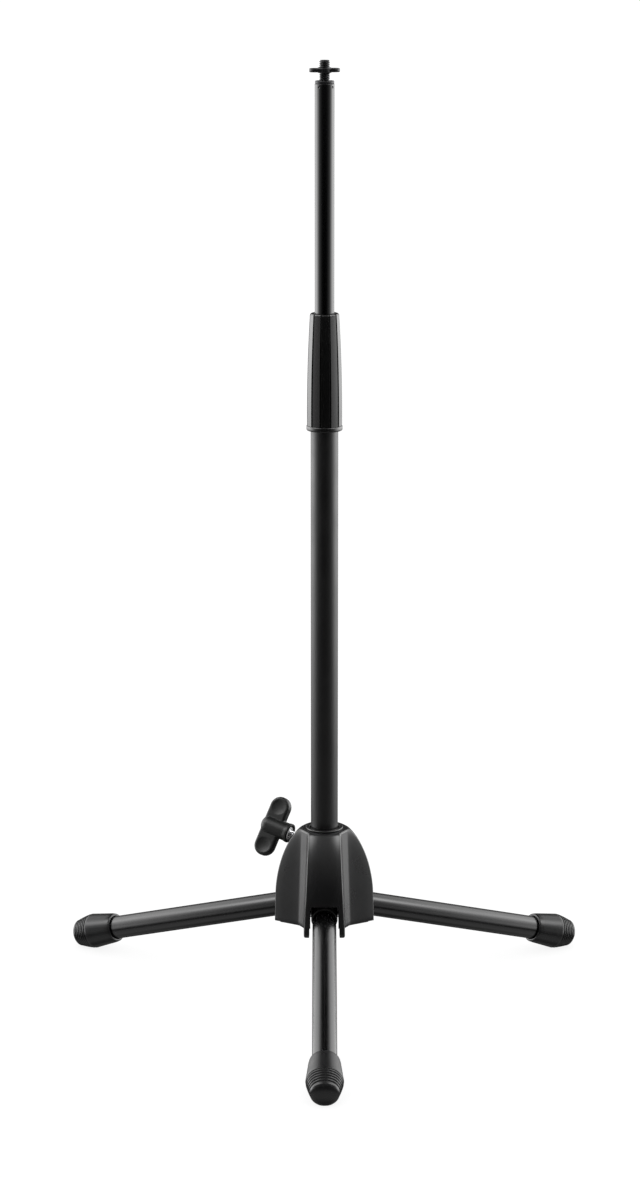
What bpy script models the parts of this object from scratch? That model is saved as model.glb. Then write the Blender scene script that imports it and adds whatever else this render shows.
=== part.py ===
"""A tripod stand for a small percussion accessory.

Two telescoping steel tubes stand in a moulded bell. A twist clutch holds the
thin tube at its height, and a winged screw holds the bell on the wide tube.
Three legs fold down out of slots in the bell. Units are metres, +Z is up and
the floor is z = 0. The front leg points along -Y.
"""

import math

import bmesh
import bpy
from mathutils import Matrix, Vector

# Gaps between pieces
SEAT_GAP = 0.0003          # two pieces that rest on each other or are pressed together
RUN_GAP = 0.00035          # a piece that slides or turns in another
BELL_GAP = 0.0009          # round the wide tube in the bell's top ring, which is loose
EDGE = 0.0003              # small chamfer on a cut tube's end
SOFT_EDGE = 0.0006         # larger chamfer, on moulded and turned pieces
OVERCUT = 0.01             # how far a cutter stands past the surface that it cuts
SHARP = math.radians(35)   # edges steeper than this stay sharp in the shading

# Wide tube of the mast
WIDE_R = 0.0125
WIDE_WALL = 0.0015
WIDE_LENGTH = 0.4881

# Thin tube of the mast
THIN_R = 0.00875
THIN_WALL = 0.0012
THIN_LENGTH = 0.500
THIN_SHOWN = 0.2032        # length that stands out of the clutch
BEAD_OUT = 0.0007          # rolled bead above the guide bush

# Guide bush and its keeper at the thin tube's lower end
GUIDE_LENGTH = 0.017
KEEPER_LIP = 0.003
KEEPER_SPIGOT = 0.012

# Clutch
CLUTCH_SPIGOT = 0.028
CLUTCH_LIP = 0.0027
CLUTCH_THREAD_LENGTH = 0.019
CLUTCH_THREAD_R = 0.0123
COLLET_LENGTH = 0.024
COLLET_FOOT_R = 0.0116
COLLET_HEAD_R = 0.0102
COLLET_SLIT = 0.0016
COLLET_FOOT_RISE = 0.002   # from the collet's lower edge up to its widest
GRIP_LENGTH = 0.1061
GRIP_DROP = 0.0500         # from the wide tube's top down to the grip's lower edge
GRIP_TOP_R = 0.0131
GRIP_BELLY_R = 0.0159
GRIP_RIM_R = 0.0163
GRIP_RIM_HEIGHT = 0.0042
GRIP_FLUTES = 11
GRIP_FLUTE_HALF_ANGLE = math.radians(3.6)
GRIP_FLUTE_DEPTH = 0.0007
GRIP_TURN = math.radians(1)
GRIP_BEND = 0.022          # height where the grip starts to narrow
GRIP_BEND_POWER = 1.75
GRIP_LEVELS = 9

# Thread stud, its plug and the winged nut
PLUG_FLANGE = 0.0024
PLUG_SPIGOT = 0.020
STUD_R = 0.0047625
STUD_LENGTH = 0.018
STUD_PITCH = 0.0015875
STUD_THREAD_DEPTH = 0.00085
STUD_ROOT_R = 0.003
STUD_ROOT_LENGTH = 0.014
NUT_HEIGHT = 0.0069        # from the plug's flange up to the nut's lower face
NUT_BOSS_R = 0.0063
NUT_BOSS_HEIGHT = 0.0046
NUT_WING_REACH = 0.0137
NUT_WING_HALF_WIDTH = 0.0052
NUT_WING_THICKNESS = 0.0034
NUT_TURN = math.radians(8)

# Bell: heights are from the leg hinges' level
BELL_R = 0.0431
BELL_SKIRT = 0.0176        # down to the bell's lower edge
BELL_SHOULDER = 0.011      # where the end faces start to curve in
BELL_DOME = 0.072          # height of the curve that the end faces follow
BELL_DOME_POWER = 1.8
BELL_TOP = 0.0754          # up to the rim
BELL_RIM_ROUND = 0.0016
LOBE_HALF_FOOT = 0.0191    # half width of an end face, at the lower edge and at the rim
LOBE_HALF_HEAD = 0.0147
LOBE_ROOT_HALF_FOOT = 0.0193
LOBE_ROOT_HALF_HEAD = 0.0158
LOBE_ROOT_OUT_FOOT = 0.0166
LOBE_ROOT_OUT_HEAD = 0.0153
LOBE_EDGE = 0.0011         # chamfer on the ridges
LOBE_CROWN_FOOT = 0.0003   # how far an end face bulges, at the lower edge and at the rim
LOBE_CROWN_HEAD = 0.0030
LOBE_CROWN_POWER = 3
BELL_WALL = 0.0032
BELL_LEVELS = 10
HUB_R = 0.019
CAVITY_TOP = 0.046
CAVITY_LEVELS = (0.0117, 0.025, 0.036, CAVITY_TOP)
POST_POCKET_TOP = 0.021
POST_POCKET_IN = 0.0188    # from the mast's axis to the pocket between two lobes
POST_POCKET_TIP = 0.0008
POST_POCKET_OUT_FOOT = 0.0237
POST_POCKET_OUT_HEAD = 0.0212
POST_POCKET_HALF_FOOT = 0.0075
POST_POCKET_HALF_HEAD = 0.0035
SLOT_HALF = 0.013
SLOT_ROOF = 0.0127
SLOT_STEP_DROP = 0.0104
SLOT_STEP = 0.0009
SLOT_CORNER = 0.0006       # the roof's corners are cut off by this much
SLOT_CORNER_DROP = 0.004
MOUTH_HALF_ROOF = 0.0131   # half width of a slot's mouth in the end face
MOUTH_HALF_FOOT = 0.0140
MOUTH_FLARE_DROP = 0.007
MOUTH_DEPTH = 0.0055

# Bushes in the bell
TOP_BUSH_LIP_R = 0.0173
TOP_BUSH_LIP = 0.0014
TOP_BUSH_LENGTH = 0.0062
TOP_BUSH_R = 0.0152
LOW_BUSH_LENGTH = 0.0118
LOW_BUSH_R = 0.016
LOW_BUSH_LIFT = 0.0002     # from the slots' roof up to the lower bush
CAP_LIP_OUT = 0.0009       # the tube's cap stands this far proud of the tube
CAP_LIP = 0.0025
CAP_SPIGOT = 0.010

# Legs
LEG_AZIMUTHS = {"front": -90.0, "right": 30.0, "left": 150.0}   # in order round the mast
LEG_SLOPE = math.radians(16.95)
LEG_R = 0.011
LEG_WALL = 0.0015
HINGE_OUT = 0.026          # from the mast's axis to a hinge
HINGE_CLEAR = 0.0004       # between the hinge plug and the cap's lip
COLLAR_REACH = 0.0097      # from the hinge to the leg tube's end
PLUG_SHANK = 0.035
HINGE_SKIN = 0.00002       # keeps the half-round end's cutter clear of the plug's sides
PIN_R = 0.003
PIN_HALF_LENGTH = 0.0163
STOP_RIB_START = 0.002     # from the hinge outwards
STOP_RIB_END = 0.0055
STOP_RIB_BITE = 0.0005     # how far the rib runs into the slot's walls

# Rubber feet: distances are along the leg from the hinge
FOOT_RIM = 0.2171
FOOT_TAPER = 0.0274        # from the rim out to the foot's widest place
FOOT_RIM_R = 0.01385
FOOT_LIP = ((0.0, 0.0015), (0.0006, 0.0007), (0.0028, 0.0))   # rounding at the rim
FOOT_BELLY_R = 0.0167
FOOT_RIBS = 6
FOOT_RIB_PITCH = 0.00258
FOOT_BEND_POWER = 1.3      # how the ribbed part curves in towards the cap
FOOT_CAP_R = 0.0129
FOOT_CAP = 0.0049          # height of the smooth cap past the ribs
FOOT_GROOVE = 0.0005
FOOT_TUBE_PAST = 0.0045    # the leg tube ends this far past the foot's widest place
FOOT_FLAT = 0.0005         # how far the rubber is flattened on the floor

# Clamp screw: its axis leans out of the left lobe
SCREW_HEIGHT = 0.0557      # where its axis meets the mast's, from the hinges' level
SCREW_RISE = math.radians(12.4)
SCREW_R = 0.003
SCREW_HOLE_GAP = 0.0005
SCREW_IN_KNOB = 0.0187     # length of shank inside the knob
NOSE_R = 0.0012            # the screw's nose in the pad
PAD_START = 0.0139
PAD_LENGTH = 0.005
PAD_R = 0.0058
PAD_EDGE = 0.0022
PAD_SOCKET_DEPTH = 0.003
PAD_TRAVEL = 0.0010        # how far one turn of the screw draws the pad back
INSERT_LENGTH = 0.006
INSERT_R = 0.0062
KNOB_START = 0.0377
KNOB_LENGTH = 0.0311
KNOB_R = 0.0086
KNOB_RIM_R = 0.0092
KNOB_FLARE = 0.0045        # length over which the rim narrows to the hub
KNOB_DOME = 0.0075         # length of the hub's round end
COLLAR_R = 0.0062
COLLAR_LENGTH = 0.0022
COLLAR_DEPTH = 0.0012      # from the knob's inner end to the collar's face
WING_CENTRE = 0.0193       # from the knob's start to the wings' middle
WING_OUT = 0.019           # from the screw's axis to a wing's centre
WING_R = 0.0099
WING_THICKNESS = 0.0088
WING_DISH = 0.0012
WING_DISH_R = 0.013
WING_ROUND = 0.0022
WING_TURN = math.radians(25.7)

# Sizes that follow from the ones above
WIDE_BORE = WIDE_R - WIDE_WALL
THIN_BORE = THIN_R - THIN_WALL
LEG_BORE = LEG_R - LEG_WALL
FOOT_BELLY = FOOT_RIM + FOOT_TAPER
FOOT_CAP_START = FOOT_BELLY + FOOT_RIBS * FOOT_RIB_PITCH
LEG_END = FOOT_BELLY + FOOT_TUBE_PAST
COLLAR_LEG_R = HINGE_OUT - WIDE_R - CAP_LIP_OUT - HINGE_CLEAR


def foot_radius(along):
    """Outer radius of a foot, without its ribs, at a distance along the leg."""
    if along < FOOT_BELLY:
        share = (along - FOOT_RIM) / (FOOT_BELLY - FOOT_RIM)
        return FOOT_RIM_R + (FOOT_BELLY_R - FOOT_RIM_R) * share
    if along < FOOT_CAP_START:
        share = (along - FOOT_BELLY) / (FOOT_CAP_START - FOOT_BELLY)
        return FOOT_BELLY_R - (FOOT_BELLY_R - FOOT_CAP_R) * share ** FOOT_BEND_POWER
    share = min((along - FOOT_CAP_START) / FOOT_CAP, 1.0)
    return FOOT_CAP_R * math.sqrt(1.0 - share * share)


def foot_profile():
    """(radius, distance) points of a foot's outside, from its rim to its tip."""
    points = [(FOOT_RIM_R - drop, FOOT_RIM + along) for along, drop in FOOT_LIP]
    points.append((FOOT_BELLY_R, FOOT_BELLY))
    for rib in range(FOOT_RIBS):
        start = FOOT_BELLY + FOOT_RIB_PITCH * rib
        valley = start + FOOT_RIB_PITCH * 0.3
        crest = start + FOOT_RIB_PITCH * 0.7
        points.append((foot_radius(valley) - FOOT_GROOVE, valley))
        points.append((foot_radius(crest), crest))
    for step in (0.0, 0.45, 0.75, 0.93):
        along = FOOT_CAP_START + FOOT_CAP * step
        points.append((foot_radius(along), along))
    points.append((0.0, FOOT_CAP_START + FOOT_CAP))
    return points


def foot_support(axis_share):
    """How far a foot reaches in a direction whose cosine with the leg is axis_share."""
    round_share = math.sqrt(1.0 - axis_share * axis_share)
    return max(along * axis_share + radius * round_share for radius, along in foot_profile())


def foot_reach(azimuth, direction):
    """Level distance from the mast's axis to a foot's furthest point in a direction."""
    turn = math.cos(math.radians(azimuth - direction))
    return HINGE_OUT * turn + foot_support(math.cos(LEG_SLOPE) * turn)


HINGE_Z = foot_support(math.sin(LEG_SLOPE)) - FOOT_FLAT
FRONT_REACH = foot_reach(LEG_AZIMUTHS["front"], -90.0)
BACK_REACH = max(foot_reach(azimuth, 90.0) for azimuth in LEG_AZIMUTHS.values())
MAST_Y = (FRONT_REACH - BACK_REACH) / 2
LOW_BUSH_BOTTOM = SLOT_ROOF + LOW_BUSH_LIFT
WIDE_BOTTOM = HINGE_Z + LOW_BUSH_BOTTOM
WIDE_TOP = WIDE_BOTTOM + WIDE_LENGTH
CAP_TOP = WIDE_BOTTOM - SEAT_GAP
GRIP_BOTTOM = WIDE_TOP - GRIP_DROP
GRIP_TOP = GRIP_BOTTOM + GRIP_LENGTH
COLLET_BOTTOM = WIDE_TOP + SEAT_GAP + CLUTCH_LIP + CLUTCH_THREAD_LENGTH + SEAT_GAP
THIN_TOP = GRIP_TOP + THIN_SHOWN
THIN_BOTTOM = THIN_TOP - THIN_LENGTH
FLANGE_TOP = THIN_TOP + SEAT_GAP + PLUG_FLANGE
CLAMP_AZIMUTH = math.radians(LEG_AZIMUTHS["left"])

for leftover in list(bpy.data.objects):
    bpy.data.objects.remove(leftover)


def material(name, colour, roughness, metallic=0.0):
    """A plain shader with the part's colour, roughness and metallic value."""
    made = bpy.data.materials.new(name)
    made.use_nodes = True
    shader = made.node_tree.nodes["Principled BSDF"]
    shader.inputs["Base Color"].default_value = (*colour, 1.0)
    shader.inputs["Roughness"].default_value = roughness
    shader.inputs["Metallic"].default_value = metallic
    return made


PAINT = material("black_paint", (0.012, 0.012, 0.013), 0.35)
GRIP_PLASTIC = material("grip_plastic", (0.008, 0.008, 0.009), 0.18)
BELL_PLASTIC = material("bell_plastic", (0.022, 0.022, 0.024), 0.42)
KNOB_PLASTIC = material("knob_plastic", (0.015, 0.016, 0.015), 0.38)
RUBBER = material("rubber", (0.028, 0.028, 0.029), 0.7)
BRASS = material("brass", (0.6, 0.44, 0.18), 0.35, 1.0)
STEEL = material("steel", (0.42, 0.42, 0.43), 0.3, 1.0)
BLACK_STEEL = material("black_steel", (0.03, 0.03, 0.032), 0.32, 0.8)
NYLON = material("nylon", (0.03, 0.03, 0.032), 0.5)


def mesh_object(name, shape, finish):
    """A new object that holds a bmesh, shaded smooth with sharp edges kept."""
    bmesh.ops.recalc_face_normals(shape, faces=shape.faces)
    mesh = bpy.data.meshes.new(name)
    shape.to_mesh(mesh)
    shape.free()
    mesh.shade_smooth()
    mesh.set_sharp_from_angle(angle=SHARP)
    mesh.materials.append(finish)
    made = bpy.data.objects.new(name, mesh)
    bpy.context.scene.collection.objects.link(made)
    return made


def place(piece, parent, location=(0, 0, 0), rotation=(0, 0, 0)):
    """Puts a piece or an empty in its parent's frame."""
    piece.parent = parent
    piece.location = location
    piece.rotation_euler = rotation
    return piece


def empty(name, parent=None, location=(0, 0, 0), rotation=(0, 0, 0)):
    """An axis that pieces hang on."""
    made = bpy.data.objects.new(name, None)
    made.empty_display_size = 0.02
    bpy.context.scene.collection.objects.link(made)
    return place(made, parent, location, rotation)


def turned(profile, sides, ring=False):
    """A bmesh turned about Z from (radius, height) points, closed up if it is a ring."""
    shape = bmesh.new()
    corners = [shape.verts.new((radius, 0.0, height)) for radius, height in profile]
    ends = list(zip(corners, corners[1:]))
    if ring:
        ends.append((corners[-1], corners[0]))
    edges = [shape.edges.new(pair) for pair in ends]
    bmesh.ops.spin(
        shape,
        geom=corners + edges,
        cent=(0, 0, 0),
        axis=(0, 0, 1),
        angle=math.tau,
        steps=sides,
        use_merge=True,
    )
    bmesh.ops.remove_doubles(shape, verts=shape.verts, dist=1e-6)
    loose = [edge for edge in shape.edges if not edge.link_faces]
    bmesh.ops.delete(shape, geom=loose, context="EDGES")
    return shape


def sleeve(inner, outer, low, high, chamfer=EDGE):
    """Profile of a plain ring with small outer chamfers."""
    return [
        (inner, low),
        (outer - chamfer, low),
        (outer, low + chamfer),
        (outer, high - chamfer),
        (outer - chamfer, high),
        (inner, high),
    ]


def lofted(rings):
    """A closed bmesh through rings of as many points each, capped at both ends."""
    shape = bmesh.new()
    loops = [[shape.verts.new(point) for point in ring] for ring in rings]
    count = len(loops[0])
    for low, high in zip(loops, loops[1:]):
        for i in range(count):
            j = (i + 1) % count
            shape.faces.new((low[i], low[j], high[j], high[i]))
    shape.faces.new(list(reversed(loops[0])))
    shape.faces.new(loops[-1])
    bmesh.ops.recalc_face_normals(shape, faces=shape.faces)
    return shape


def prism(outline, low, high, matrix=None):
    """A closed bmesh: an outline in XY between two heights, then moved by a matrix."""
    shape = lofted([[(x, y, z) for x, y in outline] for z in (low, high)])
    if matrix is not None:
        bmesh.ops.transform(shape, matrix=matrix, verts=shape.verts)
    return shape


def rod(radius, low, high, sides, matrix=None):
    """A closed round bar about Z, then moved by a matrix."""
    shape = turned([(0, low), (radius, low), (radius, high), (0, high)], sides)
    if matrix is not None:
        bmesh.ops.transform(shape, matrix=matrix, verts=shape.verts)
    return shape


def shaped(name, base, finish, steps, solver="EXACT"):
    """An object cut and joined in order: each step is an operation and a bmesh."""
    body = mesh_object(name, base, finish)
    tools = []
    for operation, shape in steps:
        tool = mesh_object(name + "_tool", shape, finish)
        tool.hide_render = True
        tool.display_type = "WIRE"
        step = body.modifiers.new(operation.lower(), "BOOLEAN")
        step.operation = operation
        step.solver = solver
        step.object = tool
        tools.append(tool)
    graph = bpy.context.evaluated_depsgraph_get()
    mesh = bpy.data.meshes.new_from_object(body.evaluated_get(graph), depsgraph=graph)
    body.modifiers.clear()
    body.data = mesh
    mesh.name = name
    mesh.shade_smooth()
    mesh.set_sharp_from_angle(angle=SHARP)
    for tool in tools:
        bpy.data.objects.remove(tool)
    return body


def between(low, high, share):
    return low + (high - low) * share


def arc(centre, radius, start, end, steps):
    """Points of an arc in a plane, angles in degrees."""
    angles = [math.radians(between(start, end, i / steps)) for i in range(steps + 1)]
    return [(centre[0] + radius * math.cos(a), centre[1] + radius * math.sin(a)) for a in angles]


# Fixed part of the mast

def lower_tube(mast):
    profile = sleeve(WIDE_BORE, WIDE_R, WIDE_BOTTOM, WIDE_TOP)
    return place(mesh_object("lower_tube", turned(profile, 36, ring=True), PAINT), mast)


def tube_end_cap(mast):
    lip_r = WIDE_R + CAP_LIP_OUT
    spigot_r = WIDE_BORE - SEAT_GAP
    profile = [
        (0, CAP_TOP - CAP_LIP),
        (lip_r - SOFT_EDGE, CAP_TOP - CAP_LIP),
        (lip_r, CAP_TOP - CAP_LIP + SOFT_EDGE),
        (lip_r, CAP_TOP),
        (spigot_r, CAP_TOP),
        (spigot_r, CAP_TOP + CAP_SPIGOT - 2 * SOFT_EDGE),
        (spigot_r - SOFT_EDGE, CAP_TOP + CAP_SPIGOT),
        (0, CAP_TOP + CAP_SPIGOT),
    ]
    return place(mesh_object("tube_end_cap", turned(profile, 28), RUBBER), mast)


def clutch_body(mast):
    bore = THIN_R + RUN_GAP
    seat = WIDE_TOP + SEAT_GAP
    thread = seat + CLUTCH_LIP
    top = thread + CLUTCH_THREAD_LENGTH
    profile = [
        (bore, WIDE_TOP - CLUTCH_SPIGOT),
        (WIDE_BORE - SEAT_GAP, WIDE_TOP - CLUTCH_SPIGOT),
        (WIDE_BORE - SEAT_GAP, seat),
        (WIDE_R, seat),
        (WIDE_R, thread),
        (CLUTCH_THREAD_R - SOFT_EDGE, thread),
        (CLUTCH_THREAD_R, thread + 2 * SOFT_EDGE),
        (CLUTCH_THREAD_R, top - SOFT_EDGE),
        (CLUTCH_THREAD_R - SOFT_EDGE, top),
        (bore, top),
    ]
    return place(mesh_object("clutch_body", turned(profile, 28, ring=True), NYLON), mast)


def collet(mast):
    top = COLLET_BOTTOM + COLLET_LENGTH
    inner = THIN_R + SEAT_GAP
    profile = [
        (inner, COLLET_BOTTOM),
        (COLLET_FOOT_R - SOFT_EDGE, COLLET_BOTTOM),
        (COLLET_FOOT_R, COLLET_BOTTOM + COLLET_FOOT_RISE),
        (COLLET_HEAD_R, top - SOFT_EDGE),
        (COLLET_HEAD_R - SOFT_EDGE, top),
        (inner, top),
    ]
    half = COLLET_SLIT / 2
    start = THIN_R / 2
    end = COLLET_FOOT_R + OVERCUT
    slit = prism(
        [(start, -half), (end, -half), (end, half), (start, half)],
        COLLET_BOTTOM - OVERCUT,
        top + OVERCUT,
    )
    made = shaped("collet", turned(profile, 28, ring=True), NYLON, [("DIFFERENCE", slit)])
    return place(made, mast)


def grip_ring(height, radius, depth):
    """One level of the grip's outside, with its flutes sunk by depth."""
    points = []
    for flute in range(GRIP_FLUTES):
        middle = GRIP_TURN - math.pi / 2 + math.tau * (flute + 0.5) / GRIP_FLUTES
        for share, sunk in ((-1.0, 0.0), (-0.35, depth), (0.35, depth), (1.0, 0.0)):
            angle = middle + GRIP_FLUTE_HALF_ANGLE * share
            out = radius - sunk
            points.append((out * math.cos(angle), out * math.sin(angle), height))
        angle = middle + math.pi / GRIP_FLUTES
        points.append((radius * math.cos(angle), radius * math.sin(angle), height))
    return points


def clutch_grip(grip_axis):
    """The grip narrows upwards along a curve that is steeper near its top."""
    rings = [
        grip_ring(0.0, GRIP_RIM_R - SOFT_EDGE, 0.0),
        grip_ring(SOFT_EDGE, GRIP_RIM_R, 0.0),
        grip_ring(GRIP_RIM_HEIGHT - SOFT_EDGE, GRIP_RIM_R, 0.0),
        grip_ring(GRIP_RIM_HEIGHT, GRIP_BELLY_R, GRIP_FLUTE_DEPTH * 0.3),
    ]
    for i in range(1, GRIP_LEVELS + 1):
        height = between(GRIP_RIM_HEIGHT, GRIP_LENGTH - 2 * SOFT_EDGE, i / GRIP_LEVELS)
        rise = max((height - GRIP_BEND) / (GRIP_LENGTH - GRIP_BEND), 0.0)
        radius = between(GRIP_BELLY_R, GRIP_TOP_R, rise ** GRIP_BEND_POWER)
        rings.append(grip_ring(height, radius, GRIP_FLUTE_DEPTH))
    rings.append(grip_ring(GRIP_LENGTH, GRIP_TOP_R - 2 * SOFT_EDGE, GRIP_FLUTE_DEPTH * 0.5))
    seat = WIDE_TOP + SEAT_GAP + CLUTCH_LIP - GRIP_BOTTOM
    cone = COLLET_BOTTOM - GRIP_BOTTOM
    cone_top = cone + COLLET_LENGTH + SEAT_GAP
    bore = [
        (0, -OVERCUT),
        (WIDE_R + RUN_GAP, -OVERCUT),
        (WIDE_R + RUN_GAP, seat + RUN_GAP),
        (CLUTCH_THREAD_R + SEAT_GAP, seat + RUN_GAP),
        (CLUTCH_THREAD_R + SEAT_GAP, cone - RUN_GAP),
        (COLLET_FOOT_R + SEAT_GAP, cone + RUN_GAP),
        (COLLET_HEAD_R + SEAT_GAP, cone_top - SOFT_EDGE),
        (COLLET_HEAD_R + SEAT_GAP, cone_top),
        (THIN_R + RUN_GAP, cone_top),
        (THIN_R + RUN_GAP, GRIP_LENGTH + OVERCUT),
        (0, GRIP_LENGTH + OVERCUT),
    ]
    steps = [("DIFFERENCE", turned(bore, 32))]
    return place(shaped("clutch_grip", lofted(rings), GRIP_PLASTIC, steps), grip_axis)


# Sliding part of the mast

def upper_tube(slider):
    bead = THIN_BOTTOM + GUIDE_LENGTH + 3 * SEAT_GAP
    profile = [
        (THIN_BORE, THIN_BOTTOM),
        (THIN_R, THIN_BOTTOM),
        (THIN_R, bead),
        (THIN_R + BEAD_OUT, bead + BEAD_OUT),
        (THIN_R, bead + 2 * BEAD_OUT),
        (THIN_R, THIN_TOP - EDGE),
        (THIN_R - EDGE, THIN_TOP),
        (THIN_BORE, THIN_TOP),
    ]
    return place(mesh_object("upper_tube", turned(profile, 32, ring=True), PAINT), slider)


def guide_bush(slider):
    low = THIN_BOTTOM + SEAT_GAP
    profile = sleeve(THIN_R + SEAT_GAP, WIDE_BORE - RUN_GAP, low, low + GUIDE_LENGTH, SOFT_EDGE)
    return place(mesh_object("guide_bush", turned(profile, 28, ring=True), NYLON), slider)


def guide_bush_keeper(slider):
    lip_r = WIDE_BORE - 2 * RUN_GAP
    top = THIN_BOTTOM - SEAT_GAP
    spigot_r = THIN_BORE - SEAT_GAP
    profile = [
        (0, top - KEEPER_LIP),
        (lip_r - SOFT_EDGE, top - KEEPER_LIP),
        (lip_r, top - KEEPER_LIP + SOFT_EDGE),
        (lip_r, top),
        (spigot_r, top),
        (spigot_r, top + KEEPER_SPIGOT),
        (0, top + KEEPER_SPIGOT),
    ]
    return place(mesh_object("guide_bush_keeper", turned(profile, 24), NYLON), slider)


def stud_plug(slider):
    """The flange lies on the tube's end, and the spigot is pressed into the tube."""
    seat = THIN_TOP + SEAT_GAP
    spigot_r = THIN_BORE - SEAT_GAP
    socket_r = STUD_ROOT_R + SEAT_GAP
    socket_low = FLANGE_TOP - STUD_ROOT_LENGTH - SEAT_GAP
    profile = [
        (0, seat - PLUG_SPIGOT),
        (spigot_r - SOFT_EDGE, seat - PLUG_SPIGOT),
        (spigot_r, seat - PLUG_SPIGOT + SOFT_EDGE),
        (spigot_r, seat),
        (THIN_R - EDGE, seat),
        (THIN_R - EDGE, FLANGE_TOP - SOFT_EDGE),
        (THIN_R - EDGE - SOFT_EDGE, FLANGE_TOP),
        (socket_r, FLANGE_TOP),
        (socket_r, socket_low),
        (0, socket_low),
    ]
    return place(mesh_object("stud_plug", turned(profile, 28), BLACK_STEEL), slider)


def thread_stud(slider):
    """A stud whose thread is drawn as rings one pitch apart."""
    seat = FLANGE_TOP + SEAT_GAP
    top = seat + STUD_LENGTH - SEAT_GAP
    profile = [
        (0, FLANGE_TOP - STUD_ROOT_LENGTH),
        (STUD_ROOT_R, FLANGE_TOP - STUD_ROOT_LENGTH),
        (STUD_ROOT_R, seat),
    ]
    turns = int((STUD_LENGTH - 2 * SOFT_EDGE) / STUD_PITCH)
    for turn in range(turns):
        valley = seat + STUD_PITCH * turn
        profile.append((STUD_R - STUD_THREAD_DEPTH, valley))
        profile.append((STUD_R, valley + STUD_PITCH * 0.5))
    profile.append((STUD_R - STUD_THREAD_DEPTH, seat + STUD_PITCH * turns))
    profile.append((STUD_R - STUD_THREAD_DEPTH - EDGE, top))
    profile.append((0, top))
    return place(mesh_object("thread_stud", turned(profile, 20), BLACK_STEEL), slider)


def locknut(nut_axis):
    """A boss with two flat wings, about its own axis, with its lower face at z = 0."""
    wing_low = (NUT_BOSS_HEIGHT - NUT_WING_THICKNESS) / 2
    end = NUT_WING_REACH - NUT_WING_HALF_WIDTH
    outline = arc((end, 0), NUT_WING_HALF_WIDTH, -90, 90, 8)
    outline += arc((-end, 0), NUT_WING_HALF_WIDTH, 90, 270, 8)
    boss = sleeve(0, NUT_BOSS_R, 0, NUT_BOSS_HEIGHT, SOFT_EDGE)
    steps = [
        ("UNION", prism(outline, wing_low, wing_low + NUT_WING_THICKNESS)),
        ("DIFFERENCE", rod(STUD_R + RUN_GAP, -OVERCUT, NUT_BOSS_HEIGHT + OVERCUT, 24)),
    ]
    return place(shaped("locknut", turned(boss, 24), BLACK_STEEL, steps), nut_axis)


# Tripod base

def bell_radius(height):
    """Distance of an end face's ridges from the mast's axis."""
    if height < BELL_SHOULDER:
        return BELL_R
    share = (height - BELL_SHOULDER) / BELL_DOME
    return BELL_R * math.sqrt(1.0 - share ** BELL_DOME_POWER)


def lobe_section(height):
    """Half width of the end face, its bulge, then half width and distance of the lobe's root."""
    share = (height + BELL_SKIRT) / (BELL_TOP + BELL_SKIRT)
    half = between(LOBE_HALF_FOOT, LOBE_HALF_HEAD, share)
    crown = between(LOBE_CROWN_FOOT, LOBE_CROWN_HEAD, share ** LOBE_CROWN_POWER)
    root_half = between(LOBE_ROOT_HALF_FOOT, LOBE_ROOT_HALF_HEAD, share)
    root_out = between(LOBE_ROOT_OUT_FOOT, LOBE_ROOT_OUT_HEAD, share)
    return half, crown, root_half, root_out


def bell_ring(height, inset=0.0):
    """The bell's outline at a height: three lobes joined by flat chamfers."""
    half, crown, root_half, root_out = lobe_section(height)
    out = bell_radius(height)
    side = [
        (root_half, root_out),
        (half, out - LOBE_EDGE),
        (half - LOBE_EDGE, out),
        (half * 0.5, out + crown * 0.72),
    ]
    across_lobe_face = [(-a, o) for a, o in side] + [(0.0, out + crown)]
    across_lobe_face += [(a, o) for a, o in reversed(side)]
    points = []
    for azimuth in LEG_AZIMUTHS.values():
        turn = Matrix.Rotation(math.radians(azimuth), 3, "Z")
        for across, away in across_lobe_face:
            point = Vector((away, across, 0))
            point *= 1.0 - inset / point.length
            points.append(turn @ point + Vector((0, 0, height)))
    return points


def bell_shell():
    """The bell's outside, from its lower edge up to its rounded rim."""
    rings = [bell_ring(-BELL_SKIRT, SOFT_EDGE), bell_ring(-BELL_SKIRT + SOFT_EDGE)]
    rings.append(bell_ring(-BELL_SKIRT / 2))
    rings.append(bell_ring(0.0))
    rise = BELL_TOP - BELL_RIM_ROUND - BELL_SHOULDER
    for i in range(BELL_LEVELS + 1):
        quarter = math.pi / 2 * i / BELL_LEVELS
        rings.append(bell_ring(BELL_SHOULDER + rise * math.sin(quarter)))
    for share in (0.5, 0.85, 1.0):
        inset = BELL_RIM_ROUND * (1 - math.sqrt(1 - share * share))
        rings.append(bell_ring(BELL_TOP - BELL_RIM_ROUND * (1 - share), inset))
    return lofted(rings)


def bell_bore():
    """Room for the wide tube, the two bushes and the tube's cap."""
    low_r = LOW_BUSH_R + SEAT_GAP
    low_top = LOW_BUSH_BOTTOM + LOW_BUSH_LENGTH + SEAT_GAP
    tube_r = WIDE_R + BELL_GAP
    head_r = TOP_BUSH_R + SEAT_GAP
    head_low = BELL_TOP - TOP_BUSH_LENGTH - SEAT_GAP
    profile = [
        (0, -BELL_SKIRT - OVERCUT),
        (low_r, -BELL_SKIRT - OVERCUT),
        (low_r, low_top),
        (tube_r, low_top),
        (tube_r, head_low),
        (head_r, head_low),
        (head_r, BELL_TOP + OVERCUT),
        (0, BELL_TOP + OVERCUT),
    ]
    return turned(profile, 36)


def across_lobe(azimuth):
    """A frame whose X runs out along a leg, whose Y is up and whose Z is the hinge's axis."""
    return Matrix.Rotation(math.radians(azimuth), 4, "Z") @ Matrix.Rotation(math.pi / 2, 4, "X")


def facing_lobe(azimuth):
    """A frame whose X runs across a leg, whose Y is up and whose Z runs out along it."""
    turn = Matrix.Rotation(math.radians(azimuth + 90), 4, "Z")
    return turn @ Matrix.Rotation(math.pi / 2, 4, "X")


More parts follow.
